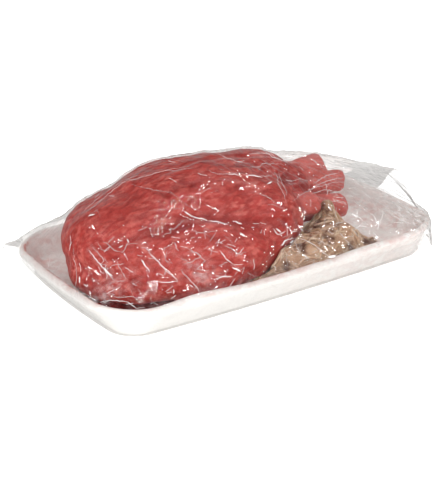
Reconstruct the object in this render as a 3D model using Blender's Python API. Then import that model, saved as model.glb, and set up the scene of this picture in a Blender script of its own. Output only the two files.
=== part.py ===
"""Overwrapped meat tray: a white foam tray that holds one large raw heart with
its cut vessels and a heap of stringy trimmings, closed in clear film.

Metres, +Z up.  The origin is the middle of the tray's flat underside, +X runs
along the tray towards the end where the film has its loose flap, and -Y is
the front.  Four bodies: tray, heart, trimmings and film.  The film is a solid
that fills the space between the taut outer sheet and the meat below it.
"""
import math

import bmesh
import bpy
import numpy as np
from mathutils import Matrix, Vector, noise
from mathutils.bvhtree import BVHTree

# ---------------------------------------------------------------- dimensions
LIP_LENGTH = 0.219          # tray, outside of the lip
LIP_WIDTH = 0.1344
LIP_RADIUS = 0.0307         # plan radius of the lip's corners
SIDE_BOW = 0.0032           # how far each side bulges outwards at its middle
TRAY_HEIGHT = 0.018
FLOOR_THICKNESS = 0.004
RADIUS_LOSS = 1.75          # how fast the corner radius shrinks with the inset

BASE_RADIUS = 0.0115        # the smallest plan radius, at the tray's base

GAP = 0.0003                # clearance between pieces that touch
FLOOR_Z = FLOOR_THICKNESS + GAP

VOXEL = 0.0016              # size of the cells in which soft lobes are merged
SOFTEN_ROUNDS = 12          # smoothing of the merged skin
HEART_FACES = 3000
TRIM_FACES = 1100
CAVITY_FACES = 1400
HEART_SOFTNESS = 0.004      # how roundly the heart meets the floor
TRIM_SOFTNESS = 0.0015
TRIM_CLEARANCE = 0.0017     # how far the trimmings stay off the heart
CAVITY_CLEARANCE = 0.0016   # how far the film's solid stays off the meat

FILM_SKIN = 0.0008          # thickness of the film's skirt and flaps
FILM_STANDOFF = 0.0028      # the film's outer face above the meat
FILM_OVER_LIP = 0.0014      # and above the lip
FILM_CELL = 0.002           # grid on which the film is stretched
GRID_CORNER = (-0.130, -0.080)
GRID_CELLS = (134, 80)
FILM_ROUNDS = 500           # rounds of stretching
FILM_RINGS = 10             # rings of facets between the lip and the middle
RING_CROWDING = 1.15        # how much closer they lie near the lip
TENT_START = -0.010         # from here on the film spans freely, as a tent
TENT_RUN = 0.066            # length over which it lifts off the meat
TENT_LIFT = 0.0012          # the tent's height above its supports

FLAP_LIFTS = (0.084, 0.102)  # where along the tray the film leaves the wall
FLAP_REACH = 0.0140         # how far the loose flap runs past the lip
FLAP_CREST = 0.0255         # height of the flap's free edge at its middle
FLAP_MIDDLE = 0.004
FLAP_SPREAD = 0.0180        # half width of the raised middle
FLAP_HEM = 0.0030           # height of its free edge near the corners
EAR_CORNER = (-0.104, 0.060)
EAR_SPREAD = (0.006, 0.020)  # the gathered ear fades out between these radii
EAR_REACH = 0.0090

# The film's section over the lip, as insets from the lip's outside.
SEAT_INSET = 0.0070         # inner end of its underside
CREST_INSET = 0.0023        # over the lip's highest line
EDGE_INSET = 0.0004         # over the lip's rounded edge
LIP_SIDE_HEIGHT = 0.0161    # where the lip is widest
SKIRT_INSET = 0.0096        # the skirt's lower edge, tucked in by the base
SKIRT_HEIGHT = 0.0010
SWING_INSET = -0.0060       # the film swings round this line as it leaves the wall
SWING_HEIGHT = 0.0080
FIELD_INSET = 0.0060        # the first ring of the film's top, inside the lip

# Tray wall as (inset from the lip's outside, height), from the underside
# up the outside, over the lip and down the inside.
TRAY_PROFILE = (
    (0.0118, 0.0),
    (0.0104, 0.0013),
    (0.0034, 0.0135),
    (0.0012, 0.0146),
    (0.0000, 0.0161),
    (0.0007, 0.0174),
    (0.0023, 0.0180),
    (0.0045, 0.0174),
    (0.0085, 0.0105),
    (0.0125, 0.0056),
    (0.0165, FLOOR_THICKNESS),
)

HEART_MIDDLE = (-0.020, 0.0, 0.034)
# The heart's muscle as rounded lobes: centre, half-sizes, turn about Z.
HEART_LOBES = (
    ((-0.0200, 0.0050, 0.0345), (0.0580, 0.0430, 0.0295), 0.0),      # back ventricle
    ((-0.0370, -0.0240, 0.0220), (0.0530, 0.0355, 0.0250), 0.0),     # front ventricle
    ((-0.0570, 0.0010, 0.0285), (0.0425, 0.0430, 0.0265), 0.0),      # blunt apex
    ((-0.0600, -0.0080, 0.0155), (0.0415, 0.0440, 0.0155), 0.0),     # sagging underside
    ((0.0010, -0.0110, 0.0300), (0.0360, 0.0370, 0.0250), -0.35),    # base
    ((0.0160, 0.0080, 0.0480), (0.0270, 0.0200, 0.0120), -0.20),     # auricle
    ((0.0380, 0.0050, 0.0345), (0.0200, 0.0180, 0.0150), 0.0),       # vessel root
)
# Cut vessels: root, cut end, radius at the root and at the cut end.
VESSELS = (
    ((0.042, 0.006, 0.038), (0.073, 0.008, 0.041), 0.0085, 0.0082),
    ((0.045, 0.006, 0.032), (0.086, 0.004, 0.029), 0.0080, 0.0068),
    ((0.018, -0.020, 0.0325), (0.0475, -0.0215, 0.0315), 0.0078, 0.0068),
    ((0.042, -0.010, 0.025), (0.0735, -0.0145, 0.0215), 0.0086, 0.0078),
)
VESSEL_SIDES = 24
VESSEL_ROUND = 0.0015       # rounding of a vessel's cut end
LUMEN_SHARE = 0.52          # open middle of a cut vessel, of its radius
LUMEN_DEPTH = 0.006
# Unevenness of the meat: waves per metre and their height.
HEART_LUMPS = ((55.0, 0.0022), (130.0, 0.0007))
TRIM_LUMPS = ((160.0, 0.0022),)

# Heaps of trimmings: centre and half-sizes.
TRIM_HEAPS = (
    ((-0.010, -0.0475, 0.0095), (0.026, 0.0110, 0.0075)),
    ((0.020, -0.0440, 0.0130), (0.025, 0.0160, 0.0120)),
    ((0.045, -0.0370, 0.0120), (0.020, 0.0190, 0.0110)),
    ((0.060, -0.0450, 0.0065), (0.018, 0.0100, 0.0038)),
    ((0.049, -0.0260, 0.0115), (0.010, 0.0090, 0.0080)),
    ((0.0535, -0.0235, 0.0225), (0.0056, 0.0056, 0.0125)),
)

FOAM_WHITE = (0.90, 0.88, 0.86)
RAW_RED = (0.52, 0.075, 0.06)
TRIM_TAN = (0.38, 0.24, 0.17)
CLEAR_GREY = (0.80, 0.79, 0.78)


# ------------------------------------------------------------------- helpers
def clear_scene():
    for item in list(bpy.data.objects):
        bpy.data.objects.remove(item)


def make_material(name, colour, roughness, alpha=1.0):
    material = bpy.data.materials.new(name)
    material.use_nodes = True
    shader = material.node_tree.nodes["Principled BSDF"]
    shader.inputs["Base Color"].default_value = (*colour, 1.0)
    shader.inputs["Roughness"].default_value = roughness
    shader.inputs["Alpha"].default_value = alpha
    return material


def add_object(name, mesh, material):
    item = bpy.data.objects.new(name, mesh)
    bpy.context.scene.collection.objects.link(item)
    mesh.materials.clear()
    mesh.materials.append(material)
    mesh.shade_smooth()
    return item


def mesh_from_bmesh(name, bm):
    bmesh.ops.recalc_face_normals(bm, faces=bm.faces[:])
    mesh = bpy.data.meshes.new(name)
    bm.to_mesh(mesh)
    bm.free()
    return mesh


def smooth_step(low, high, value):
    t = min(max((value - low) / (high - low), 0.0), 1.0)
    return t * t * (3.0 - 2.0 * t)


# -------------------------------------------------------------------- outline
CORNER_STEPS = 8
LONG_STEPS = 10
SHORT_STEPS = 6


def outline(half_length, half_width, radius):
    """Points of a rounded rectangle with bowed sides, the same number in any
    size, so that rings of different sizes can be bridged."""
    points = []
    for corner in range(4):
        sx = 1.0 if corner in (0, 3) else -1.0
        sy = 1.0 if corner in (0, 1) else -1.0
        centre = Vector((sx * (half_length - radius), sy * (half_width - radius)))
        for step in range(CORNER_STEPS):
            angle = 0.5 * math.pi * (corner + step / (CORNER_STEPS - 1))
            points.append(centre + radius * Vector((math.cos(angle), math.sin(angle))))
        nxt = (corner + 1) % 4
        nx = 1.0 if nxt in (0, 3) else -1.0
        ny = 1.0 if nxt in (0, 1) else -1.0
        turn = 0.5 * math.pi * (corner + 1)
        start = points[-1]
        reach = radius * Vector((math.cos(turn), math.sin(turn)))
        end = Vector((nx * (half_length - radius), ny * (half_width - radius))) + reach
        steps = LONG_STEPS if corner % 2 == 0 else SHORT_STEPS
        for step in range(1, steps + 1):
            points.append(start.lerp(end, step / (steps + 1)))
    return [bowed(point, half_length, half_width) for point in points]


def bowed(point, half_length, half_width):
    u = point.x / half_length
    v = point.y / half_width
    x = point.x + math.copysign(SIDE_BOW * (1.0 - v * v) * u * u, u)
    y = point.y + math.copysign(SIDE_BOW * (1.0 - u * u) * v * v, v)
    return Vector((x, y))


def lip_outline(inset):
    loss = RADIUS_LOSS if inset > 0.0 else 1.0
    radius = max(LIP_RADIUS - loss * inset, BASE_RADIUS)
    return outline(0.5 * LIP_LENGTH - inset, 0.5 * LIP_WIDTH - inset, radius)


def at_height(points, z):
    return [Vector((*point, z)) for point in points]


def add_ring(bm, points):
    return [bm.verts.new(point) for point in points]


def bridge(bm, lower, upper):
    count = len(lower)
    for i in range(count):
        j = (i + 1) % count
        bm.faces.new((lower[i], lower[j], upper[j], upper[i]))


def close_with_fan(bm, ring, z):
    middle = bm.verts.new((0.0, 0.0, z))
    count = len(ring)
    for i in range(count):
        bm.faces.new((ring[i], ring[(i + 1) % count], middle))


# ----------------------------------------------------------------------- tray
def build_tray():
    bm = bmesh.new()
    rings = [add_ring(bm, at_height(lip_outline(inset), z)) for inset, z in TRAY_PROFILE]
    for lower, upper in zip(rings, rings[1:]):
        bridge(bm, lower, upper)
    close_with_fan(bm, rings[0], TRAY_PROFILE[0][1])
    close_with_fan(bm, rings[-1], TRAY_PROFILE[-1][1])
    foam = make_material("white foam", FOAM_WHITE, 0.6)
    return add_object("tray", mesh_from_bmesh("tray", bm), foam)


# ---------------------------------------------------------------- soft lobes
def add_lobe(bm, centre, half_sizes, turn=0.0):
    place = Matrix.Translation(centre) @ Matrix.Rotation(turn, 4, "Z")
    place = place @ Matrix.Diagonal((*half_sizes, 1.0))
    bmesh.ops.create_icosphere(bm, subdivisions=4, radius=1.0, matrix=place)


def add_vessel(bm, root, end, root_radius, end_radius):
    """A tapered tube, closed at its root, with a dished opening at its cut end."""
    root = Vector(root)
    axis = Vector(end) - root
    length = axis.length
    turn = axis.to_track_quat("Z", "Y").to_matrix().to_4x4()
    place = Matrix.Translation(root) @ turn
    lumen = LUMEN_SHARE * end_radius
    profile = (
        (root_radius, 0.0),
        (0.5 * (root_radius + end_radius), 0.5 * length),
        (end_radius, length - VESSEL_ROUND),
        (end_radius - VESSEL_ROUND, length),
        (lumen, length - 0.4 * VESSEL_ROUND),
        (0.8 * lumen, length - LUMEN_DEPTH),
    )
    rings = []
    for radius, height in profile:
        ring = []
        for k in range(VESSEL_SIDES):
            angle = 2.0 * math.pi * k / VESSEL_SIDES
            spot = Vector((radius * math.cos(angle), radius * math.sin(angle), height))
            ring.append(place @ spot)
        rings.append(add_ring(bm, ring))
    for lower, upper in zip(rings, rings[1:]):
        bridge(bm, lower, upper)
    bm.faces.new(list(reversed(rings[0])))
    bm.faces.new(rings[-1])


def merged(name, bm, faces, reshape):
    """Merge overlapping lobes into one skin, reshape it, and thin its facets."""
    mesh = mesh_from_bmesh(name, bm)
    item = bpy.data.objects.new(name, mesh)
    bpy.context.scene.collection.objects.link(item)
    remesh = item.modifiers.new("merge", "REMESH")
    remesh.mode = "VOXEL"
    remesh.voxel_size = VOXEL
    smooth = item.modifiers.new("soften", "SMOOTH")
    smooth.iterations = SOFTEN_ROUNDS
    smooth.factor = 0.5
    fine = evaluated(item)
    for vertex in fine.vertices:
        vertex.co = reshape(vertex.co.copy())
    item.modifiers.clear()
    item.data = fine
    fine.calc_loop_triangles()
    thin = item.modifiers.new("thin", "DECIMATE")
    thin.ratio = faces / len(fine.loop_triangles)
    result = evaluated(item)
    bpy.data.objects.remove(item)
    return result


def evaluated(item):
    graph = bpy.context.evaluated_depsgraph_get()
    graph.update()
    return bpy.data.meshes.new_from_object(item.evaluated_get(graph))


def lumpy(point, lumps):
    return sum(height * noise.noise(point * waves) for waves, height in lumps)


def rest_on_floor(point, softness):
    """Flatten what would sink into the tray's floor, with a soft edge."""
    height = (point.z - FLOOR_Z) / softness
    if height < 1.0:
        point.z = FLOOR_Z + softness * math.exp(height - 1.0)
    return point


# ---------------------------------------------------------------------- heart
def shape_heart(point):
    outward = (point - Vector(HEART_MIDDLE)).normalized()
    return rest_on_floor(point + outward * lumpy(point, HEART_LUMPS), HEART_SOFTNESS)


def build_heart():
    bm = bmesh.new()
    for centre, half_sizes, turn in HEART_LOBES:
        add_lobe(bm, centre, half_sizes, turn)
    for root, end, root_radius, end_radius in VESSELS:
        add_vessel(bm, root, end, root_radius, end_radius)
    mesh = merged("heart", bm, HEART_FACES, shape_heart)
    return add_object("heart", mesh, make_material("raw heart", RAW_RED, 0.4))


# ------------------------------------------------------------------ trimmings
def build_trimmings(heart):
    tree = surface_tree(heart)

    def settle(point):
        """Heap the trimmings against the heart, a small clearance off it."""
        point.z += lumpy(point, TRIM_LUMPS)
        point = rest_on_floor(point, TRIM_SOFTNESS)
        anchor = nearest_heap(point)
        way = point - anchor
        hit, _, _, reach = tree.ray_cast(anchor, way.normalized())
        if hit and reach < way.length + TRIM_CLEARANCE:
            point = anchor + way.normalized() * max(reach - TRIM_CLEARANCE, 0.0)
        spot, normal, _, _ = tree.find_nearest(point)
        off = (point - spot).dot(normal)
        if off < TRIM_CLEARANCE:
            point = point + normal * (TRIM_CLEARANCE - off)
        point.z = max(point.z, FLOOR_Z)
        return point

    bm = bmesh.new()
    for centre, half_sizes in TRIM_HEAPS:
        add_lobe(bm, centre, half_sizes)
    mesh = merged("trimmings", bm, TRIM_FACES, settle)
    return add_object("trimmings", mesh, make_material("trimmings", TRIM_TAN, 0.5))


def nearest_heap(point):
    def share(heap):
        centre, sizes = heap
        return sum(((point[k] - centre[k]) / sizes[k]) ** 2 for k in range(3))

    return Vector(min(TRIM_HEAPS, key=share)[0])


def surface_tree(item):
    bm = bmesh.new()
    bm.from_mesh(item.data)
    tree = BVHTree.FromBMesh(bm)
    bm.free()
    return tree


# ----------------------------------------------------------------------- film
def flap_weight(point):
    """1 where the film runs past the tray's end, 0 where it hugs the wall."""
    return smooth_step(*FLAP_LIFTS, point.x)


def ear_weight(point):
    """1 at the gathered ear on the back corner, 0 away from it."""
    return 1.0 - smooth_step(*EAR_SPREAD, (point - Vector(EAR_CORNER)).length)


def film_edge(point):
    """Free edge of the film outside a point of the lip's outline."""
    flap = flap_weight(point)
    ear = ear_weight(point)
    x = point.x + FLAP_REACH * flap - EAR_REACH * ear
    rise = math.exp(-(((point.y - FLAP_MIDDLE) / FLAP_SPREAD) ** 2))
    hem = FLAP_HEM + (FLAP_CREST - FLAP_HEM) * rise
    level = TRAY_HEIGHT + FILM_OVER_LIP
    return Vector((x, point.y, level + (hem - level) * flap))


class StretchedFilm:
    """Height of the film's outer face over a grid in plan."""

    def __init__(self, meat):
        self.x0, self.y0 = GRID_CORNER
        self.nx, self.ny = GRID_CELLS
        self.rim = [film_edge(p) for p in lip_outline(-FILM_SKIN - GAP)]
        self.floor = self.meat_heights(meat)
        self.spread_floor()
        self.hull = self.hull_heights(meat)
        self.height = self.stretch()

    def place(self, i, j):
        return Vector((self.x0 + i * FILM_CELL, self.y0 + j * FILM_CELL))

    def cast(self, tree, i, j):
        spot = self.place(i, j)
        hit = tree.ray_cast(Vector((spot.x, spot.y, 0.2)), Vector((0.0, 0.0, -1.0)))[0]
        return hit.z if hit else 0.0

    def meat_heights(self, meat):
        trees = [surface_tree(item) for item in meat]
        floor = np.zeros((self.nx, self.ny))
        for i in range(self.nx):
            for j in range(self.ny):
                floor[i, j] = max(self.cast(tree, i, j) for tree in trees)
        return floor

    def spread_floor(self):
        """Let each cell know the highest meat around it."""
        for _ in range(2):
            pad = np.pad(self.floor, 1, mode="edge")
            shifted = [pad[1 + a:self.nx + 1 + a, 1 + b:self.ny + 1 + b]
                       for a in (-1, 0, 1) for b in (-1, 0, 1)]
            self.floor = np.maximum.reduce(shifted)

    def hull_heights(self, meat):
        bm = bmesh.new()
        for item in meat:
            for vertex in item.data.vertices:
                bm.verts.new(vertex.co)
        for point in self.rim:
            bm.verts.new(point)
        bmesh.ops.convex_hull(bm, input=bm.verts[:])
        tree = BVHTree.FromBMesh(bm)
        bm.free()
        hull = np.zeros((self.nx, self.ny))
        for i in range(self.nx):
            for j in range(self.ny):
                hull[i, j] = self.cast(tree, i, j)
        return hull

    def stretch(self):
        """Relax a sheet held at its rim until it lies on the meat and the lip."""
        inside, held = self.inside_and_rim()
        rest = np.maximum(self.floor + FILM_STANDOFF, TRAY_HEIGHT + FILM_OVER_LIP)
        rest = np.where(inside & (self.floor > 0.0), rest, 0.0)
        rest = np.maximum(rest, self.lip_rest())
        height = np.where(inside, np.maximum(self.hull, rest), held)
        for _ in range(FILM_ROUNDS):
            pad = np.pad(height, 1, mode="edge")
            mean = 0.25 * (pad[2:, 1:-1] + pad[:-2, 1:-1] + pad[1:-1, 2:] + pad[1:-1, :-2])
            height = np.where(inside, np.maximum(mean, rest), held)
        xs = self.x0 + FILM_CELL * np.arange(self.nx)
        tent = 0.9 * np.clip((xs - TENT_START) / TENT_RUN, 0.0, 1.0)[:, None]
        taut = height + tent * np.maximum(self.hull + TENT_LIFT - height, 0.0)
        return np.where(inside, np.maximum(taut, rest), held)

    def inside_and_rim(self):
        inside = np.zeros((self.nx, self.ny), dtype=bool)
        held = np.zeros((self.nx, self.ny))
        for i in range(self.nx):
            for j in range(self.ny):
                spot = self.place(i, j)
                inside[i, j] = contains(self.rim, spot)
                if not inside[i, j]:
                    near = min(self.rim, key=lambda p: (p.xy - spot).length_squared)
                    held[i, j] = near.z
        return inside, held

    def lip_rest(self):
        """The lip holds the film up all the way round."""
        outer = lip_outline(0.0)
        inner = lip_outline(2.0 * CREST_INSET)
        rest = np.zeros((self.nx, self.ny))
        for i in range(self.nx):
            for j in range(self.ny):
                spot = self.place(i, j)
                if contains(outer, spot) and not contains(inner, spot):
                    rest[i, j] = TRAY_HEIGHT + FILM_OVER_LIP
        return rest

    def at(self, spot):
        u = min(max((spot.x - self.x0) / FILM_CELL, 0.0), self.nx - 1.001)
        v = min(max((spot.y - self.y0) / FILM_CELL, 0.0), self.ny - 1.001)
        i, j = int(u), int(v)
        fu, fv = u - i, v - j
        h = self.height
        low = h[i, j] * (1.0 - fv) + h[i, j + 1] * fv
        high = h[i + 1, j] * (1.0 - fv) + h[i + 1, j + 1] * fv
        stretched = float(low * (1.0 - fu) + high * fu)
        return Vector((*spot, max(stretched, TRAY_HEIGHT + FILM_OVER_LIP)))


def contains(polygon, spot):
    """True if a plan point lies inside a closed outline."""
    inside = False
    count = len(polygon)
    for k in range(count):
        a, b = polygon[k], polygon[(k + 1) % count]
        if (a.y > spot.y) != (b.y > spot.y):
            cross = a.x + (spot.y - a.y) * (b.x - a.x) / (b.y - a.y)
            if spot.x < cross:
                inside = not inside
    return inside


def swung(start, middle, end, share):
    """A point on the curve along which the film lifts off the tray's wall."""
    return start.lerp(middle, share).lerp(middle.lerp(end, share), share)


def under_rings():
    """The film's underside, from inside the lip to over its rounded edge."""
    level = TRAY_HEIGHT + 1.3 * GAP
    return [
        at_height(lip_outline(SEAT_INSET), level),
        at_height(lip_outline(CREST_INSET), level),
        at_height(lip_outline(EDGE_INSET), level - EDGE_INSET),
    ]


def edge_rings(sheet):
    """Inner side, free edge and outer side of the skirt, the flap and the ear."""
    side = at_height(lip_outline(-EDGE_INSET), LIP_SIDE_HEIGHT)
    hem_in = at_height(lip_outline(SKIRT_INSET), SKIRT_HEIGHT)
    hem_out = at_height(lip_outline(SKIRT_INSET - FILM_SKIN), SKIRT_HEIGHT)
    outer = lip_outline(-EDGE_INSET - FILM_SKIN)
    swing = at_height(lip_outline(SWING_INSET), SWING_HEIGHT)
    skin = Vector((0.0, 0.0, FILM_SKIN))
    rings = [[], [], [], []]
    for i, free_edge in enumerate(sheet.rim):
        loose = max(flap_weight(outer[i]), ear_weight(outer[i]))
        top = sheet.at(outer[i])
        tent_side = Vector((*side[i].xy, top.z - FILM_SKIN))
        hugging = Vector((*outer[i], LIP_SIDE_HEIGHT + 0.5 * FILM_SKIN))
        rings[0].append(side[i].lerp(tent_side, smooth_step(0.4, 1.0, loose)))
        rings[1].append(swung(hem_in[i], swing[i], free_edge - 0.5 * skin, loose))
        rings[2].append(swung(hem_out[i], swing[i] + skin, free_edge + 0.5 * skin, loose))
        rings[3].append(hugging.lerp(top, loose))
    return rings


def top_rings(sheet):
    """The taut top of the film, from the lip's edge to near its middle."""
    rings = []
    for inset in (EDGE_INSET, CREST_INSET):
        rings.append([sheet.at(point) for point in lip_outline(inset)])
    field = lip_outline(FIELD_INSET)
    for step in range(FILM_RINGS):
        share = 1.0 - (step / FILM_RINGS) ** RING_CROWDING
        rings.append([sheet.at(point * share) for point in field])
    return rings


def build_film(meat):
    sheet = StretchedFilm(meat)
    bm = bmesh.new()
    sections = under_rings() + edge_rings(sheet) + top_rings(sheet)
    rings = [add_ring(bm, points) for points in sections]
    for lower, upper in zip(rings, rings[1:]):
        bridge(bm, lower, upper)
    close_with_fan(bm, rings[0], rings[0][0].co.z)
    close_with_fan(bm, rings[-1], sheet.at(Vector((0.0, 0.0))).z)
    clear = make_material("clear film", CLEAR_GREY, 0.15, alpha=0.35)
    film = add_object("film", mesh_from_bmesh("film", bm), clear)
    cut_cavity(film, meat)
    return film


def cut_cavity(film, meat):
    """Take the room of the meat out of the film's solid, open at its underside."""
    bm = bmesh.new()
    for item in meat:
        bm.from_mesh(item.data)
    mesh = bpy.data.meshes.new("cavity")
    bm.to_mesh(mesh)
    bm.free()
    cutter = bpy.data.objects.new("cavity", mesh)
    bpy.context.scene.collection.objects.link(cutter)
    swell = cutter.modifiers.new("swell", "DISPLACE")
    swell.mid_level = 0.0
    swell.strength = CAVITY_CLEARANCE
    remesh = cutter.modifiers.new("merge", "REMESH")
    remesh.mode = "VOXEL"
    remesh.voxel_size = VOXEL
    fine = evaluated(cutter)
    fine.calc_loop_triangles()
    thin = cutter.modifiers.new("thin", "DECIMATE")
    thin.ratio = CAVITY_FACES / len(fine.loop_triangles)
    cutter.data = evaluated(cutter)
    cutter.modifiers.clear()
    cut = film.modifiers.new("cavity", "BOOLEAN")
    cut.operation = "DIFFERENCE"
    cut.solver = "EXACT"
    cut.object = cutter
    film.data = evaluated(film)
    film.modifiers.clear()
    bpy.data.objects.remove(cutter)


def main():
    clear_scene()
    build_tray()
    heart = build_heart()
    trimmings = build_trimmings(heart)
    build_film((heart, trimmings))


main()
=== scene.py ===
# %% [markdown]
# # A raw heart on a foam tray, under stretch film
#
# The imported model gives four plain solids: the tray, the heart, the heap of
# trimmings, and one solid for the closed film.  This lesson dresses them.  Each
# solid is replaced by a finer piece of the same size and in the same place.
# The tray's and the heart's limits are read from the imported model.  Furrows,
# cut vessels, stains and painted shade, folds, creases and painted glints are
# placed one by one, in millimetres.

# %% Load the imported model
import math

import bmesh
import bpy
import numpy as np
from mathutils import Matrix, Vector, geometry, noise
from mathutils.bvhtree import BVHTree


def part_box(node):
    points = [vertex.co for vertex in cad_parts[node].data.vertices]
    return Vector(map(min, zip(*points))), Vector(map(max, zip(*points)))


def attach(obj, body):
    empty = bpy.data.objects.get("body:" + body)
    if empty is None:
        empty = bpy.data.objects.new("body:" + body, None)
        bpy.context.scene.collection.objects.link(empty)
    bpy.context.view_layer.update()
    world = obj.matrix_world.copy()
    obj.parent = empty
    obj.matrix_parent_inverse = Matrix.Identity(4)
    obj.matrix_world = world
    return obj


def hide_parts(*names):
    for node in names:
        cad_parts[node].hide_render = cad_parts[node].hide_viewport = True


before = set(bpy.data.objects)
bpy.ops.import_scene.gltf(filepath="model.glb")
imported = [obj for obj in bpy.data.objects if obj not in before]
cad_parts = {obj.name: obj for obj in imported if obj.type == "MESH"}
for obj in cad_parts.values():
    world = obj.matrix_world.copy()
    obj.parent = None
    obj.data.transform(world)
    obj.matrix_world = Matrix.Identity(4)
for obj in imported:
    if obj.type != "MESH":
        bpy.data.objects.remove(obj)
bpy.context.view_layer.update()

MM = 0.001
tray_low, tray_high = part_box("tray")
heart_low, heart_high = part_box("heart")
print("nodes:", sorted(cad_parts))


# %% [markdown]
# ## Small helpers
#
# Most pieces here are rows of points that wrap round the tray, so one function
# turns such rows into a mesh.  Numbers that belong to a point, such as how
# stained it is, travel with the mesh as named attributes, and a material can
# read them by name.  That survives an export, which a texture file on disk
# would not.

# %% Mesh helpers
def add_piece(name, points, faces):
    mesh = bpy.data.meshes.new(name)
    mesh.from_pydata([tuple(p) for p in points], [], faces)
    mesh.validate()
    mesh.shade_smooth()
    piece = bpy.data.objects.new(name, mesh)
    bpy.context.scene.collection.objects.link(piece)
    return piece


def ring_faces(rows, columns):
    """Quads between neighbouring closed rings, counted row by row."""
    faces = []
    for r in range(rows - 1):
        low, high = r * columns, (r + 1) * columns
        for c in range(columns):
            d = (c + 1) % columns
            faces.append((low + c, low + d, high + d, high + c))
    return faces


def store(piece, name, values):
    """Keep one number for each point under a name that materials can read."""
    layer = piece.data.attributes.new(name, "FLOAT", "POINT")
    layer.data.foreach_set("value", np.asarray(values, np.float32))


def points_of(piece):
    flat = np.zeros(len(piece.data.vertices) * 3)
    piece.data.vertices.foreach_get("co", flat)
    return flat.reshape(-1, 3)


def normals_of(piece):
    flat = np.zeros(len(piece.data.vertices) * 3)
    piece.data.vertices.foreach_get("normal", flat)
    return flat.reshape(-1, 3)


def move_points(piece, points):
    piece.data.vertices.foreach_set("co", points.astype(np.float32).ravel())
    piece.data.update()


def surface_of(piece):
    graph = bpy.context.evaluated_depsgraph_get()
    return BVHTree.FromObject(piece, graph)


def step(low, high, value):
    t = np.clip((value - low) / (high - low), 0.0, 1.0)
    return t * t * (3.0 - 2.0 * t)


def noise_at(points, size, seed=0.0):
    """Smooth noise from -1 to 1 at each point; size is the width of one blob."""
    places = points / size + seed
    return np.array([noise.noise(p) for p in places])


# %% Node helper
def add_node(tree, kind, inputs=(), **settings):
    """Add a node; each input takes a value or another node's output."""
    made = tree.nodes.new(kind)
    for name, value in settings.items():
        setattr(made, name, value)
    for socket, value in dict(inputs).items():
        if isinstance(value, bpy.types.NodeSocket):
            tree.links.new(value, made.inputs[socket])
        else:
            made.inputs[socket].default_value = value
    return made


def new_material(name):
    material = bpy.data.materials.new(name)
    material.use_nodes = True
    tree = material.node_tree
    return material, tree, tree.nodes["Principled BSDF"]


# %% [markdown]
# ## The camera
#
# A long lens from above the tray's front left corner.  The place is given as a
# distance, a turn and a tilt round a point near the tray's middle, which is
# easier to judge than three coordinates, and the camera leans a little.

# %% Camera
AIM = Vector((-0.00917, -0.00515, 0.01628))
DISTANCE = 0.79709
TURN = math.radians(-32.194)
TILT = math.radians(22.618)
LEAN = math.radians(-1.646)
LENS = 105.28

camera_data = bpy.data.cameras.new("camera")
camera_data.lens = LENS
camera_data.sensor_width = 36.0
camera_data.clip_start = 0.01
camera = bpy.data.objects.new("camera", camera_data)
bpy.context.scene.collection.objects.link(camera)
looking = Matrix.Rotation(TURN, 4, "Z") @ Matrix.Rotation(0.5 * math.pi - TILT, 4, "X")
leaning = looking @ Matrix.Rotation(LEAN, 4, "Z")
camera.matrix_world = Matrix.Translation(AIM + looking @ Vector((0, 0, DISTANCE))) @ leaning
bpy.context.scene.camera = camera
print("camera stands at", [round(c, 3) for c in camera.matrix_world.translation])


# %% [markdown]
# ## Two effects that several finishes share
#
# A shader group is a small machine with named knobs.  "blotches" gives soft
# patches of a mask between 0 and 1, and "grain" gives a height for a Bump node.
# They are built once, and each material turns the knobs to its own scale.

# %% Shader groups
def new_group(name, inputs, output):
    group = bpy.data.node_groups.new(name, "ShaderNodeTree")
    for label, value in inputs:
        knob = group.interface.new_socket(label, in_out="INPUT", socket_type="NodeSocketFloat")
        knob.default_value = value
    group.interface.new_socket(output, in_out="OUTPUT", socket_type="NodeSocketFloat")
    entry = group.nodes.new("NodeGroupInput")
    leave = group.nodes.new("NodeGroupOutput")
    place = group.nodes.new("ShaderNodeTexCoord").outputs["Object"]
    return group, entry.outputs, leave.inputs[0], place


def blotch_group():
    group, knobs, result, place = new_group(
        "blotches", (("Scale", 60.0), ("From", 0.45), ("To", 0.6), ("Detail", 4.0),
                     ("Lengthways", 1.0)), "Mask")
    squeeze = add_node(group, "ShaderNodeCombineXYZ",
                       {"X": knobs["Lengthways"], "Y": 1.0, "Z": 1.0})
    place = add_node(group, "ShaderNodeVectorMath",
                     {0: place, 1: squeeze.outputs[0]}, operation="MULTIPLY").outputs[0]
    wave = add_node(group, "ShaderNodeTexNoise",
                    {"Vector": place, "Scale": knobs["Scale"], "Detail": knobs["Detail"]})
    ramp = add_node(group, "ShaderNodeMapRange",
                    {"Value": wave.outputs["Fac"], 1: knobs["From"], 2: knobs["To"]},
                    interpolation_type="SMOOTHSTEP")
    group.links.new(ramp.outputs[0], result)
    return group


def grain_group():
    group, knobs, result, place = new_group(
        "grain", (("Cells", 600.0), ("Cell share", 0.5), ("Ripple", 150.0)), "Height")
    cells = add_node(group, "ShaderNodeTexVoronoi",
                     {"Vector": place, "Scale": knobs["Cells"]}, feature="SMOOTH_F1")
    ripple = add_node(group, "ShaderNodeTexNoise",
                      {"Vector": place, "Scale": knobs["Ripple"], "Detail": 5.0})
    both = add_node(group, "ShaderNodeMix",
                    {0: knobs["Cell share"], 2: ripple.outputs["Fac"],
                     3: cells.outputs["Distance"]})
    group.links.new(both.outputs[0], result)
    return group


blotches = blotch_group()
grain = grain_group()


def use_group(tree, group, **knobs):
    made = add_node(tree, "ShaderNodeGroup", node_tree=group)
    for label, value in knobs.items():
        made.inputs[label.replace("_", " ")].default_value = value
    return made.outputs[0]


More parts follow.
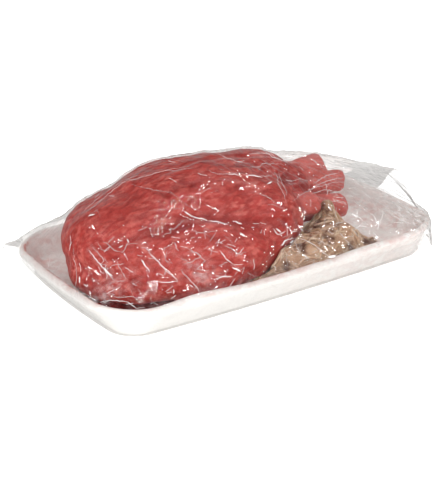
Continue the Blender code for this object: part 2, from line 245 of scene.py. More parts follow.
def mix_colour(tree, share, first, second):
    """A colour that goes from first to second as share goes from 0 to 1."""
    made = add_node(tree, "ShaderNodeMix", data_type="RGBA")
    for socket, value in ((made.inputs[0], share), (made.inputs[6], first), (made.inputs[7], second)):
        if isinstance(value, bpy.types.NodeSocket):
            tree.links.new(value, socket)
        else:
            socket.default_value = value if isinstance(value, float) else (*value, 1.0)
    return made.outputs[2]


def arithmetic(tree, operation, first, second):
    made = add_node(tree, "ShaderNodeMath", {0: first, 1: second}, operation=operation)
    return made.outputs[0]


def read(tree, name):
    return add_node(tree, "ShaderNodeAttribute", attribute_name=name).outputs["Fac"]


def bump(tree, shader, height, depth, share=1.0):
    relief = add_node(tree, "ShaderNodeBump",
                      {"Height": height, "Distance": depth, "Strength": share})
    tree.links.new(relief.outputs["Normal"], shader.inputs["Normal"])
    return relief.outputs["Normal"]


print("shared effects:", blotches.name, "and", grain.name)


# %% [markdown]
# ## The tray's outline
#
# The tray is pressed from foam sheet.  Its plan is a rectangle with round
# corners whose sides bow out a little, and every level of it is the same
# outline drawn further in.  So one function gives the outline at any inset,
# always with the same columns of points, and rings of different size can be
# joined without a twist.  The film below uses the same function.

# %% Outline of the tray at any inset
SIDE_BOW = 3.2 * MM
LIP_RADIUS = 30.7 * MM
BASE_RADIUS = 11.5 * MM
RADIUS_LOSS = 1.75
LIP_HALF_LENGTH = tray_high.x - SIDE_BOW
LIP_HALF_WIDTH = tray_high.y - SIDE_BOW
TRAY_HEIGHT = tray_high.z


def lip_columns(spacing):
    """For each column its two side signs and the angle it faces."""
    signs = ((1, 1), (-1, 1), (-1, -1), (1, -1))
    sides = (2 * (LIP_HALF_LENGTH - LIP_RADIUS), 2 * (LIP_HALF_WIDTH - LIP_RADIUS))
    columns = []
    for corner, (ax, ay) in enumerate(signs):
        bx, by = signs[(corner + 1) % 4]
        turns = round(0.5 * math.pi * LIP_RADIUS / spacing)
        columns += [(ax, ay, 0.5 * math.pi * (corner + k / turns)) for k in range(turns)]
        count = round(sides[corner % 2] / spacing)
        for k in range(count):
            t = k / count
            columns.append((ax + (bx - ax) * t, ay + (by - ay) * t, 0.5 * math.pi * (corner + 1)))
    return np.array(columns)


def outline(columns, inset):
    """Plan points of the tray's outline, drawn in from the lip's outside."""
    inset = np.broadcast_to(np.asarray(inset, float), len(columns))
    loss = np.where(inset > 0.0, RADIUS_LOSS, 1.0)
    radius = np.maximum(LIP_RADIUS - loss * inset, BASE_RADIUS)
    a, b = LIP_HALF_LENGTH - inset, LIP_HALF_WIDTH - inset
    x = (a - radius) * columns[:, 0] + radius * np.cos(columns[:, 2])
    y = (b - radius) * columns[:, 1] + radius * np.sin(columns[:, 2])
    u, v = x / a, y / b
    x += np.sign(u) * SIDE_BOW * (1.0 - v * v) * u * u
    y += np.sign(v) * SIDE_BOW * (1.0 - u * u) * v * v
    return np.stack([x, y], 1)


def rings_at(columns, levels):
    """One ring of points for each (inset, height)."""
    rings = [np.column_stack([outline(columns, inset), np.full(len(columns), z)])
             for inset, z in levels]
    return np.array(rings)


def rounded(levels, pieces):
    """A smooth curve through the levels of a section (Catmull-Rom)."""
    p = np.array(levels)
    p = np.vstack([2 * p[0] - p[1], p, 2 * p[-1] - p[-2]])
    curve = []
    for i in range(1, len(p) - 2):
        for t in np.arange(pieces) / pieces:
            curve.append(0.5 * (2 * p[i] + (p[i + 1] - p[i - 1]) * t
                                + (2 * p[i - 1] - 5 * p[i] + 4 * p[i + 1] - p[i + 2]) * t ** 2
                                + (3 * p[i] - p[i - 1] - 3 * p[i + 1] + p[i + 2]) * t ** 3))
    return curve + [p[-2]]


# %% [markdown]
# ## The foam tray
#
# The section runs from the flat underside up the outside, over the round lip
# and down into the tray.  Foam is never quite even, so the lip wavers by a few
# tenths of a millimetre.  Blood has run along the inside of the left wall and
# tinted the lip, and the floor inside is darkened and tinted pink as painted
# shade: the mesh stores how much, and the foam's finish reads it.

# %% Tray mesh
BASE_LIFT = 0.6 * MM        # room for the film that passes under the base
TRAY_SECTION = [(x * MM, z * MM) for x, z in (
    (11.8, 0.6), (10.4, 1.7), (6.9, 7.7), (3.4, 13.5), (1.2, 14.7), (0.0, 16.1), (0.6, 17.4),
    (2.2, 18.0), (4.4, 17.4), (6.4, 14.2), (8.5, 10.6), (12.5, 5.7), (16.5, 4.1))]

tray_columns = lip_columns(2.0 * MM)
levels = rounded(TRAY_SECTION, 5)
levels = [(70 * MM * s, BASE_LIFT) for s in (0.9, 0.5)] + levels
levels = levels + [(30 * MM, 4.0 * MM), (62 * MM, 4.0 * MM)]
tray_rings = rings_at(tray_columns, levels)
count = len(tray_columns)
tray_points = tray_rings.reshape(-1, 3)
tray_faces = ring_faces(len(levels), count)
tray_points = np.vstack([tray_points, [(0, 0, BASE_LIFT), (0, 0, 4.0 * MM)]])
under, floor_middle = len(tray_points) - 2, len(tray_points) - 1
last = (len(levels) - 1) * count
tray_faces += [((c + 1) % count, c, under) for c in range(count)]
tray_faces += [(last + c, last + (c + 1) % count, floor_middle) for c in range(count)]
foam_tray = add_piece("foam_tray", tray_points, tray_faces)
waver = noise_at(tray_points, 0.022) * 0.25 * MM * step(0.010, 0.017, tray_points[:, 2])
# The taut film draws the front lip in beside the heart and near the right end.
front = step(-0.050, -0.060, tray_points[:, 1]) * step(0.012, 0.017, tray_points[:, 2])
along = tray_points[:, 0]
drawn_in = front * (np.exp(-((along + 0.060) / 0.017) ** 2) + 0.7 * step(0.015, 0.050, along))
pull = np.column_stack([0.0 * waver, 1.9 * MM * drawn_in, 0.9 * MM * drawn_in])
move_points(foam_tray, tray_points + waver[:, None] * np.array([0.3, 0.3, 1.0]) + pull)
print("tray points:", len(tray_points))


# %% Where blood has stained the foam, and where shade is painted
def stain_and_shade_of(points, inset, inside):
    """0 on clean foam, up to 1 under blood and under painted shade; inside marks the points within the
    lip.
    """
    x, y, z = points.T
    ragged = 0.5 + noise_at(points, 0.010, 7.0)
    inner_edge = np.exp(-((inset - 4.4 * MM) / (0.9 * MM)) ** 2) * inside
    left = 1.2 * inner_edge * step(-0.085, -0.100, x)
    front = 0.8 * inner_edge * step(-0.050, -0.058, y)
    lip = 0.22 * np.exp(-((z - 0.0178) / 0.0010) ** 2)
    # Painted shade: the floor inside is darkened and tinted pink where the heart and film shade it, with
    # some blood tint.
    floor = 0.30 * inside * step(0.0165, 0.0120, z)
    # The outside of the right end is tinted a little pink.
    outer_right = 0.15 * step(-0.04, 0.07, x) * (1.0 - inside)
    return np.clip((left + front + lip + floor) * ragged * 1.4 + outer_right, 0.0, 1.0)


crest_row = int(np.argmax([z for _, z in levels]))
inside_lip = np.arange(len(tray_points)) // count > crest_row
inside_lip[under] = False
insets = np.append(np.repeat([x for x, _ in levels], count), [0.1, 0.1])
store(foam_tray, "stain_and_shade", stain_and_shade_of(points_of(foam_tray), insets, inside_lip))


# %% [markdown]
# Foam shows tiny pressed beads.  They are far finer than the mesh, so they are
# relief in the material, made of small cells with a soft ripple on top.

# %% Foam finish
FOAM_WHITE = (0.86, 0.855, 0.84)
BLOOD_AND_SHADE_TINT = (0.58, 0.20, 0.16)

foam, tree, shader = new_material("white foam")
# This mask holds the blood stains and the painted shade on the tray's floor.
stain_and_shade_mask = arithmetic(tree, "MULTIPLY", read(tree, "stain_and_shade"),
                     use_group(tree, blotches, Scale=260.0, From=0.30, To=0.62))
tree.links.new(mix_colour(tree, stain_and_shade_mask, FOAM_WHITE, BLOOD_AND_SHADE_TINT), shader.inputs["Base Color"])
shader.inputs["Roughness"].default_value = 0.62
bump(tree, shader, use_group(tree, grain, Cells=900.0, Cell_share=0.6, Ripple=220.0), 0.25 * MM)
foam_tray.data.materials.append(foam)


# %% [markdown]
# ## The heart
#
# A heart is one soft lump of muscle: a blunt apex at the left, a groove along
# its front where the two ventricles meet, a small auricle on top and four cut
# vessels at the right.  The imported solid already has those masses.  A merged
# copy of it is remeshed to small even cells, and then each point is moved along
# its normal: first the groove and hollows, then lumps, then the creases between
# bundles of fibre.  The creases, the grooves and the place between the vessel
# roots are kept as numbers too, and the finish darkens them as painted shade.

# %% Fine copy of a imported solid
def fine_copy(node, name, cell, rounds):
    """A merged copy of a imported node, remeshed to even cells and smoothed."""
    piece = bpy.data.objects.new(name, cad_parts[node].data.copy())
    bpy.context.scene.collection.objects.link(piece)
    bm = bmesh.new()
    bm.from_mesh(piece.data)
    bmesh.ops.remove_doubles(bm, verts=bm.verts, dist=0.01 * MM)
    bm.to_mesh(piece.data)
    bm.free()
    remesh = piece.modifiers.new("even cells", "REMESH")
    remesh.mode = "VOXEL"
    remesh.voxel_size = cell
    soften = piece.modifiers.new("soften", "SMOOTH")
    soften.iterations = rounds
    graph = bpy.context.evaluated_depsgraph_get()
    piece.data = bpy.data.meshes.new_from_object(piece.evaluated_get(graph))
    piece.modifiers.clear()
    piece.data.name = name
    piece.data.materials.clear()
    piece.data.shade_smooth()
    return piece


heart = fine_copy("heart", "heart_muscle", 0.85 * MM, 4)
print("heart points:", len(heart.data.vertices))


# %% Grooves and hollows
def distance_to_path(points, path):
    """Distance of each point to a line through the path's corners."""
    best = np.full(len(points), 1.0)
    for a, b in zip(path, path[1:]):
        a, b = np.array(a) * MM, np.array(b) * MM
        t = np.clip(((points - a) @ (b - a)) / ((b - a) @ (b - a)), 0.0, 1.0)
        gap = np.linalg.norm(points - (a + t[:, None] * (b - a)), axis=1)
        best = np.minimum(best, gap)
    return best


# The groove between the ventricles, the auricle's edge, and smaller furrows,
# as corners in millimetres, with the width and the depth of each.
FURROWS = (
    (((-90, -14, 31), (-82, -26, 37), (-74, -30, 42), (-62, -33, 44), (-48, -32, 45)), 3.4, 1.7),
    (((-48, -32, 45), (-34, -35, 47), (-20, -43, 42), (-4, -45, 39), (8, -44, 36)), 4.0, 1.3),
    (((-48, -14, 57), (-38, -13, 59), (-32, -16, 58)), 3.0, 1.6),
    (((-14, -2, 61), (4, -7, 60), (20, -8, 58), (33, 0, 52)), 2.4, 1.4),
    (((30, -14, 46), (40, -4, 44), (42, 6, 46)), 2.6, 1.5),
    (((-58, -44, 34), (-48, -48, 32), (-40, -50, 29)), 2.8, 0.9),
    (((-30, -46, 38), (-24, -50, 30), (-16, -50, 24)), 2.6, 0.9),
)

# The cut vessels: where each starts and ends, and how far its skin reaches.
STUBS = (
    ((42, 6, 38), (74, 8, 41), 11.5),
    ((45, 6, 32), (87, 4, 29), 10.5),
    ((18, -20, 32), (48, -21.5, 31.5), 10.0),
    ((42, -10, 25), (75, -14.5, 21.5), 10.5),
)


def cloud(points, middle, size):
    """A soft ball: 1 at its middle in millimetres, fading over its size."""
    gap = np.linalg.norm(points - np.array(middle) * MM, axis=1)
    return np.exp(-(gap / (size * MM)) ** 2)


points, normals = points_of(heart), normals_of(heart)
rest_height = heart_low.z
dent = np.zeros(len(points))
for path, width, depth in FURROWS:
    dent += depth * MM * np.exp(-(distance_to_path(points, path) / (width * MM)) ** 2)
print("deepest groove:", round(dent.max() / MM, 2), "mm")


# %% Lumps and creases
def fibre_places(points):
    """Stretch space along the fibres, which run lengthways and swirl a little."""
    swirl = 0.55 * noise_at(points, 0.050, 3.0)
    x = points[:, 0] * np.cos(swirl) - points[:, 1] * np.sin(swirl)
    y = points[:, 0] * np.sin(swirl) + points[:, 1] * np.cos(swirl)
    return np.column_stack([0.34 * x, y, points[:, 2]])


bundles = fibre_places(points)
drift = np.column_stack([noise_at(points, 0.009, s) for s in (1.0, 2.0, 5.0)]) * 1.2 * MM
coarse = 1.0 - np.abs(noise_at(bundles + drift, 0.0042, 11.0)) * 2.2
fine = 1.0 - np.abs(noise_at(bundles + drift, 0.0018, 17.0)) * 2.2
crease_and_shade = np.clip(0.75 * np.clip(coarse, 0, 1) ** 3 + 0.45 * np.clip(fine, 0, 1) ** 3, 0, 1)
lumps = 0.45 * noise_at(points, 0.014, 4.0) + 0.14 * noise_at(points, 0.0055, 9.0)
lift = (lumps - 0.30 * crease_and_shade) * MM - dent
lift += 1.0 * MM * step(-0.070, -0.092, points[:, 0]) * step(0.052, 0.040, points[:, 2])
free = step(rest_height, rest_height + 1.5 * MM, points[:, 2])
move_points(heart, points + normals * (lift * free)[:, None])
stub = np.zeros(len(points))
for root, tip, reach in STUBS:
    axis = np.array(tip) - np.array(root)
    along = ((points / MM - np.array(root)) @ axis) / (axis @ axis)
    gap = distance_to_path(points, (root, tip))
    stub = np.maximum(stub, step(reach * MM, 0.9 * reach * MM, gap) * step(0.1, 0.45, along))
crease_and_shade = crease_and_shade * (1.0 - 0.6 * stub)
# Painted shade: creases, grooves and the place between the vessel roots are stored for darkening.
between = cloud(points, (46, -6, 36), 13) * (1.0 - stub)
store(heart, "crease_and_shade", np.clip(crease_and_shade * 0.8 + dent / (2.2 * MM) + 0.6 * between, 0.0, 1.0))
store(heart, "stub", stub)
# Painted highlight: bulges are stored paler, on top of random mottling.
store(heart, "highlight_and_blush", np.clip(0.5 + 0.9 * lumps + 0.5 * noise_at(bundles, 0.0065, 21.0), 0, 1))


# %% [markdown]
# Raw muscle is deep red; the finish darkens its creases and grooves as painted
# shade and makes its bulges paler as a painted highlight, with pink patches
# where fat or thin skin shines through.  A little light goes into it, which
# Subsurface gives, and a moist surface is fairly smooth.

# %% Muscle finish
DEEP_RED = (0.26, 0.012, 0.010)
RAW_RED = (0.50, 0.050, 0.040)
PALE_RED = (0.76, 0.20, 0.165)
VESSEL_PINK = (0.74, 0.20, 0.175)

muscle, tree, shader = new_material("raw muscle")
patches = use_group(tree, blotches, Scale=360.0, From=0.40, To=0.62, Detail=7.0, Lengthways=0.5)
# Paler on the bulges as a painted highlight, in random pink patches.
strokes = arithmetic(tree, "MULTIPLY", read(tree, "highlight_and_blush"), patches)
body = mix_colour(tree, strokes, RAW_RED, PALE_RED)
dark = use_group(tree, blotches, Scale=230.0, From=0.52, To=0.70, Detail=6.0, Lengthways=0.6)
body = mix_colour(tree, arithmetic(tree, "MULTIPLY", dark, 0.55), body, DEEP_RED)
skin = arithmetic(tree, "MULTIPLY", read(tree, "stub"), 0.55)
body = mix_colour(tree, skin, body, VESSEL_PINK)
# Painted shade: this darkens creases, grooves and the place between the vessel roots to deep red.
depth = arithmetic(tree, "MULTIPLY", read(tree, "crease_and_shade"), 0.75)
tree.links.new(mix_colour(tree, depth, body, DEEP_RED), shader.inputs["Base Color"])
shader.inputs["Roughness"].default_value = 0.42
shader.inputs["Subsurface Weight"].default_value = 0.15
shader.inputs["Subsurface Radius"].default_value = (3.0 * MM, 0.8 * MM, 0.5 * MM)
shader.inputs["Subsurface Scale"].default_value = 1.0
bump(tree, shader, use_group(tree, grain, Cells=700.0, Cell_share=0.3, Ripple=420.0), 0.5 * MM)
heart.data.materials.append(muscle)


# %% [markdown]
# ## The trimmings
#
# Beside the heart lies a heap of stringy tissue.  Modelling each strand by hand
# would take days, and a bumpy lump would look like clay.  Geometry Nodes do it
# by rule: points are scattered over a slightly smaller core, a short curve is
# laid on each, turned at random, crinkled by noise and pulled back onto the
# core, and at last every curve is given a thickness.

# %% Core of the heap
core = fine_copy("trimmings", "trimmings_core", 1.0 * MM, 4)
points, normals = points_of(core), normals_of(core)
sink = (0.9 + 1.6 * noise_at(points, 0.007, 31.0)) * MM
sink *= step(tray_low.z + 4.0 * MM, tray_low.z + 7.0 * MM, points[:, 2])
move_points(core, points - normals * sink[:, None])
store(core, "tone", np.full(len(points), 0.15))
store(core, "strand_share", np.ones(len(points)))
print("core points:", len(points))


# %% A tree that lays strands on a surface
def strand_tree(material):
    tree = bpy.data.node_groups.new("strands on a surface", "GeometryNodeTree")
    face = tree.interface
    face.new_socket("Geometry", in_out="INPUT", socket_type="NodeSocketGeometry")
    for label, kind in (("Strands per square metre", "Float"), ("Length", "Float"),
                        ("Thickness", "Float"), ("Crinkle", "Float"), ("Seed", "Int")):
        face.new_socket(label, in_out="INPUT", socket_type="NodeSocket" + kind)
    face.new_socket("Geometry", in_out="OUTPUT", socket_type="NodeSocketGeometry")
    knob = tree.nodes.new("NodeGroupInput").outputs
    part = add_node(tree, "GeometryNodeInputNamedAttribute", {"Name": "strand_share"},
                    data_type="FLOAT")
    density = add_node(tree, "ShaderNodeMath", {0: part.outputs[0],
                                                1: knob["Strands per square metre"]},
                       operation="MULTIPLY")
    scatter = add_node(tree, "GeometryNodeDistributePointsOnFaces",
                       {"Mesh": knob["Geometry"], "Density": density.outputs[0],
                        "Seed": knob["Seed"]})
    line = add_node(tree, "GeometryNodeCurvePrimitiveLine",
                    {"Direction": (1, 0, 0), "Length": knob["Length"]}, mode="DIRECTION")
    fine = add_node(tree, "GeometryNodeResampleCurve", {"Curve": line.outputs[0], "Count": 14})
    spin = add_node(tree, "FunctionNodeRandomValue", {2: -1.1, 3: 1.1, "ID": 0, "Seed": 5})
    turn = add_node(tree, "ShaderNodeCombineXYZ", {"Z": spin.outputs[1]})
    about = add_node(tree, "FunctionNodeEulerToRotation", {0: turn.outputs[0]})
    facing = add_node(tree, "FunctionNodeRotateRotation",
                      {0: scatter.outputs["Rotation"], 1: about.outputs[0]},
                      rotation_space="LOCAL")
    size = add_node(tree, "FunctionNodeRandomValue", {2: 0.45, 3: 1.25, "Seed": 6})
    laid = add_node(tree, "GeometryNodeInstanceOnPoints",
                    {"Points": scatter.outputs["Points"], "Instance": fine.outputs[0],
                     "Rotation": facing.outputs[0], "Scale": size.outputs[1]})
    tint = add_node(tree, "FunctionNodeRandomValue", {2: 0.0, 3: 1.0, "Seed": 8})
    tinted = add_node(tree, "GeometryNodeStoreNamedAttribute",
                      {"Geometry": laid.outputs[0], "Name": "tone", "Value": tint.outputs[1]},
                      data_type="FLOAT", domain="INSTANCE")
    real = add_node(tree, "GeometryNodeRealizeInstances", {0: tinted.outputs[0]})
    own = add_node(tree, "GeometryNodeInputNamedAttribute", {"Name": "tone"}, data_type="FLOAT")
    where = add_node(tree, "GeometryNodeInputPosition")
    slide = add_node(tree, "ShaderNodeCombineXYZ", {"X": own.outputs[0], "Z": own.outputs[0]})
    place = add_node(tree, "ShaderNodeVectorMath",
                     {0: where.outputs[0], 1: slide.outputs[0]}, operation="ADD")
    wave = add_node(tree, "ShaderNodeTexNoise", {"Vector": place.outputs[0], "Scale": 120.0})
    centred = add_node(tree, "ShaderNodeVectorMath",
                       {0: wave.outputs["Color"], 1: (0.5, 0.5, 0.5)}, operation="SUBTRACT")
    bent = add_node(tree, "ShaderNodeVectorMath",
                    {0: centred.outputs[0], "Scale": knob["Crinkle"]}, operation="SCALE")
    crinkled = add_node(tree, "GeometryNodeSetPosition",
                        {"Geometry": real.outputs[0], "Offset": bent.outputs[0]})
    near = add_node(tree, "GeometryNodeProximity", {0: knob["Geometry"]}, target_element="FACES")
    normal = add_node(tree, "GeometryNodeInputNormal")
    outward = add_node(tree, "GeometryNodeSampleNearestSurface",
                       {"Mesh": knob["Geometry"], "Value": normal.outputs[0]},
                       data_type="FLOAT_VECTOR")
    stack = add_node(tree, "ShaderNodeMapRange", {0: own.outputs[0], 3: 0.1, 4: 1.7})
    high = add_node(tree, "ShaderNodeMath",
                    {0: stack.outputs[0], 1: knob["Thickness"]}, operation="MULTIPLY")
    off = add_node(tree, "ShaderNodeVectorMath",
                   {0: outward.outputs[0], "Scale": high.outputs[0]}, operation="SCALE")
    seat = add_node(tree, "ShaderNodeVectorMath",
                    {0: near.outputs["Position"], 1: off.outputs[0]}, operation="ADD")
    seated = add_node(tree, "GeometryNodeSetPosition",
                      {"Geometry": crinkled.outputs[0], "Position": seat.outputs[0]})
    along = add_node(tree, "GeometryNodeSplineParameter")
    taper = add_node(tree, "ShaderNodeFloatCurve", {"Value": along.outputs["Factor"]})
    curve = taper.mapping.curves[0]
    for x, y in ((0.0, 0.25), (0.25, 1.0), (0.6, 0.7), (0.8, 0.95), (1.0, 0.2)):
        near_point = [q for q in curve.points if abs(q.location.x - x) < 0.01]
        spot = near_point[0] if near_point else curve.points.new(x, y)
        spot.location = (x, y)
    shaped = add_node(tree, "GeometryNodeSetCurveRadius",
                      {"Curve": seated.outputs[0], "Radius": taper.outputs[0]})
    profile = add_node(tree, "GeometryNodeCurvePrimitiveCircle",
                       {"Resolution": 5, "Radius": knob["Thickness"]}, mode="RADIUS")
    tube = add_node(tree, "GeometryNodeCurveToMesh",
                    {"Curve": shaped.outputs[0], "Profile Curve": profile.outputs[0],
                     "Scale": taper.outputs[0], "Fill Caps": True})
    done = add_node(tree, "GeometryNodeSetMaterial", {"Geometry": tube.outputs[0]})
    done.inputs["Material"].default_value = material
    leave = tree.nodes.new("NodeGroupOutput")
    tree.links.new(done.outputs[0], leave.inputs[0])
    return tree


def run_tree(tree, source, name, **knobs):
    """The mesh that a Geometry Nodes tree makes from a source piece."""
    piece = bpy.data.objects.new(name, source.data)
    bpy.context.scene.collection.objects.link(piece)
    modifier = piece.modifiers.new(tree.name, "NODES")
    modifier.node_group = tree
    sockets = {s.name: s.identifier for s in tree.interface.items_tree if s.in_out == "INPUT"}
    for label, value in knobs.items():
        modifier[sockets[label.replace("_", " ")]] = value
    graph = bpy.context.evaluated_depsgraph_get()
    mesh = bpy.data.meshes.new_from_object(piece.evaluated_get(graph))
    piece.modifiers.clear()
    piece.data = mesh
    mesh.name = name
    mesh.shade_smooth()
    return piece


# %% Tissue finish
TISSUE_DARK = (0.20, 0.095, 0.065)
TISSUE_TAN = (0.58, 0.37, 0.24)
TISSUE_PALE = (0.84, 0.69, 0.54)

tissue, tree, shader = new_material("stringy tissue")
shade = use_group(tree, blotches, Scale=330.0, From=0.35, To=0.65)
strand_tone = arithmetic(tree, "MULTIPLY", read(tree, "tone"), shade)
lit = mix_colour(tree, strand_tone, TISSUE_TAN, TISSUE_PALE)
dull = use_group(tree, blotches, Scale=110.0, From=0.48, To=0.66)
tree.links.new(mix_colour(tree, dull, lit, TISSUE_DARK), shader.inputs["Base Color"])
shader.inputs["Roughness"].default_value = 0.45
shader.inputs["Subsurface Weight"].default_value = 0.08
shader.inputs["Subsurface Scale"].default_value = 1.5 * MM
bump(tree, shader, use_group(tree, grain, Cells=800.0, Cell_share=0.2, Ripple=600.0), 0.4 * MM)
core.data.materials.append(tissue)


# %% Lay the strands
lay = strand_tree(tissue)
cords = run_tree(lay, core, "trimmings_cords", Seed=9, Length=0.020,
                 Strands_per_square_metre=17000.0, Thickness=0.95 * MM, Crinkle=0.012)
strands = run_tree(lay, core, "trimmings_strands", Seed=4, Length=0.030,
                   Strands_per_square_metre=80000.0, Thickness=0.36 * MM, Crinkle=0.010)
for piece in (cords, strands):
    points = points_of(piece)
    points[:, 2] = np.maximum(points[:, 2], 4.3 * MM)
    move_points(piece, points)
    print(piece.name, "has", len(points), "points")


# %% [markdown]
# ## The blood, with painted shade
#
# Between the heart and the tray's front left corner stands a little blood, in
# the shaded gap under the heart's belly, and it is made dark enough to be
# painted shade as well.  It is a thin pool with a curved edge, so it is made as
# a flat sheet of rings whose outside climbs a fraction of a millimetre where it
# wets the wall.

# %% Blood pool, dark as painted shade
POOL_MIDDLE = (-86.0, -44.0)
POOL_HALF_SIZES = (24.0, 15.0)
POOL_LEVEL = 11.5
POOL_TURNS, POOL_RINGS = 72, 10

def wall_inset_at(level):
    """How far in from the lip the tray's inner wall stands at a height."""
    inner = [(z, x) for x, z in TRAY_SECTION[8:]][::-1]
    return float(np.interp(level, [z for z, _ in inner], [x for _, x in inner]))


angles = np.linspace(0.0, 2.0 * math.pi, POOL_TURNS, endpoint=False)
shore = outline(lip_columns(1.0 * MM), wall_inset_at(POOL_LEVEL * MM) + 0.1 * MM)
middle = np.array(POOL_MIDDLE) * MM
far = 1.0 + 0.10 * np.sin(3 * angles + 0.6) + 0.05 * np.sin(7 * angles)
pool_edge = np.column_stack([np.cos(angles), np.sin(angles)]) * far[:, None]
pool_edge = middle + pool_edge * np.array(POOL_HALF_SIZES) * MM
for k, spot in enumerate(pool_edge):
    nearest = shore[np.argmin(((shore - spot) ** 2).sum(1))]
    if abs(spot[0]) > abs(nearest[0]) or abs(spot[1]) > abs(nearest[1]):
        pool_edge[k] = nearest
pool_points = []
for ring in range(1, POOL_RINGS + 1):
    share = ring / POOL_RINGS
    level = (POOL_LEVEL + 0.4 * share ** 6) * MM
    pool_points += [(*(middle + (spot - middle) * share), level) for spot in pool_edge]
pool_points.append((*middle, POOL_LEVEL * MM))
pool_faces = ring_faces(POOL_RINGS, POOL_TURNS)
pool_faces = [face[::-1] for face in pool_faces]
pool_faces += [(c, (c + 1) % POOL_TURNS, len(pool_points) - 1) for c in range(POOL_TURNS)]
blood_and_shade_pool = add_piece("blood_and_shade_pool", pool_points, pool_faces)

blood, tree, shader = new_material("dark blood and painted shade")
thin = use_group(tree, blotches, Scale=160.0, From=0.35, To=0.75)
# Painted shade: the blood colour is near black, for the shaded gap under the heart.
tree.links.new(mix_colour(tree, thin, (0.060, 0.0015, 0.001), (0.13, 0.004, 0.003)),
               shader.inputs["Base Color"])
shader.inputs["Roughness"].default_value = 0.12
blood_and_shade_pool.data.materials.append(blood)
print("blood pool points:", len(pool_points))


# %% [markdown]
# ## The film, first as a stretched sheet
#
# Stretch film lies on whatever is highest and spans the hollows between.  That
# is worked out on a grid seen from above: each cell knows how high the meat and
# the lip reach there, the rim is held, and the sheet is averaged with its
# neighbours again and again without ever sinking below the meat.  At the right
# the film is pulled straight from the top of the heart to a loose flap past
# the tray's end, so there it is drawn towards the tightest skin over all
# points, which is their convex hull.

# %% Where the film ends
FILM_CELL = 1.25 * MM
CLING = 0.45 * MM            # the film's height above the meat
OVER_LIP = 0.55 * MM
FLAP_LIFTS = (0.084, 0.102)  # where along the tray the film leaves the wall
EAR_CORNER = (-0.1085, 0.052)
EAR_SPREAD = (0.003, 0.017)


def flap_share(plan):
    return step(*FLAP_LIFTS, plan[:, 0])


def ear_share(plan):
    return 1.0 - step(*EAR_SPREAD, np.linalg.norm(plan - np.array(EAR_CORNER), axis=1))


def free_edge(columns):
    """The film's free edge: it hugs the wall but for the flap and the ear."""
    plan = outline(columns, -1.0 * MM)
    flap, ear = flap_share(plan), ear_share(plan)
    ragged = np.array([noise.noise((x * 320, y * 320, 3.0)) for x, y in plan])
    ripple = np.array([noise.noise((x * 120, y * 120, 8.0)) for x, y in plan])
    reach = 14.2 * flap * (1.0 - step(20 * MM, 54 * MM, np.abs(plan[:, 1] - 3 * MM)))
    x = plan[:, 0] + (reach - 9.5 * ear + 1.3 * ragged * np.maximum(flap, ear)) * MM
    rise = np.exp(-((plan[:, 1] - 4.0 * MM) / (15.5 * MM)) ** 2)
    hem = (3.4 + 22.4 * rise + (1.5 * ragged + 1.6 * ripple) * (1.0 - 0.6 * rise)) * MM
    level = TRAY_HEIGHT + OVER_LIP
    z = level + (hem - level) * flap + (2.6 * ragged + 0.5) * ear * MM
    return np.column_stack([x, plan[:, 1], z])


film_columns = lip_columns(1.1 * MM)
film_rim = free_edge(film_columns)
print("film columns:", len(film_columns))


# %% How high everything below the film reaches
grid_x = np.arange(-0.125, 0.136, FILM_CELL)
grid_y = np.arange(-0.076, 0.0765, FILM_CELL)
grid_spots = np.array(np.meshgrid(grid_x, grid_y, indexing="ij"))


def inside_of(loop, spots):
    """Which grid cells lie inside a closed plan outline."""
    x, y = spots
    inside = np.zeros(x.shape, bool)
    for (ax, ay), (bx, by) in zip(loop, np.roll(loop, -1, axis=0)):
        if ay == by:
            continue
        crosses = (ay > y) != (by > y)
        inside ^= crosses & (x < ax + (y - ay) * (bx - ax) / (by - ay))
    return inside


def heights_of(trees):
    """The highest surface above each grid cell, or 0 where there is none."""
    down = Vector((0.0, 0.0, -1.0))
    reach = np.zeros(grid_spots.shape[1:])
    for i, x in enumerate(grid_x):
        for j, y in enumerate(grid_y):
            for surface in trees:
                hit = surface.ray_cast(Vector((x, y, 0.2)), down)[0]
                if hit:
                    reach[i, j] = max(reach[i, j], hit.z)
    return reach


def hull_over(points):
    """A surface tree of the tightest skin round the points."""
    bm = bmesh.new()
    for point in points:
        bm.verts.new(point)
    bmesh.ops.convex_hull(bm, input=bm.verts[:])
    tree = BVHTree.FromBMesh(bm)
    bm.free()
    return tree


meat_trees = [surface_of(piece) for piece in (heart, core, cords, strands)]
meat_reach = heights_of(meat_trees)
meat_points = np.vstack([points_of(heart)[::9], points_of(core)[::5]])
hull_reach = heights_of([hull_over(np.vstack([meat_points, film_rim]))])
print("meat reaches", round(meat_reach.max() / MM, 1), "mm")


# %% Stretch the sheet
STRETCH_ROUNDS = 1500
TENT_START, TENT_RUN = -0.004, 0.060

inside = inside_of(film_rim[:, :2], grid_spots)
flat_spots = grid_spots.reshape(2, -1).T
nearest = np.array([int(np.argmin(((film_rim[:, :2] - spot) ** 2).sum(1))) for spot in flat_spots])
held = film_rim[nearest, 2].reshape(inside.shape)
on_lip = inside_of(outline(film_columns, 0.3 * MM), grid_spots)
on_lip &= ~inside_of(outline(film_columns, 4.0 * MM), grid_spots)
rest = np.where(meat_reach > 0.0, meat_reach + CLING, 0.0)
rest = np.maximum(rest, np.where(on_lip, TRAY_HEIGHT + OVER_LIP, 0.0))
height = np.where(inside, np.maximum(hull_reach, rest), held)
for _ in range(STRETCH_ROUNDS):
    pad = np.pad(height, 1, mode="edge")
    mean = 0.25 * (pad[2:, 1:-1] + pad[:-2, 1:-1] + pad[1:-1, 2:] + pad[1:-1, :-2])
    height = np.where(inside, np.maximum(mean, rest), held)
tent = 0.95 * np.clip((grid_spots[0] - TENT_START) / TENT_RUN, 0.0, 1.0)
height = height + tent * np.maximum(hull_reach + 0.4 * MM - height, 0.0)
height = np.where(inside, np.maximum(height, rest), held)
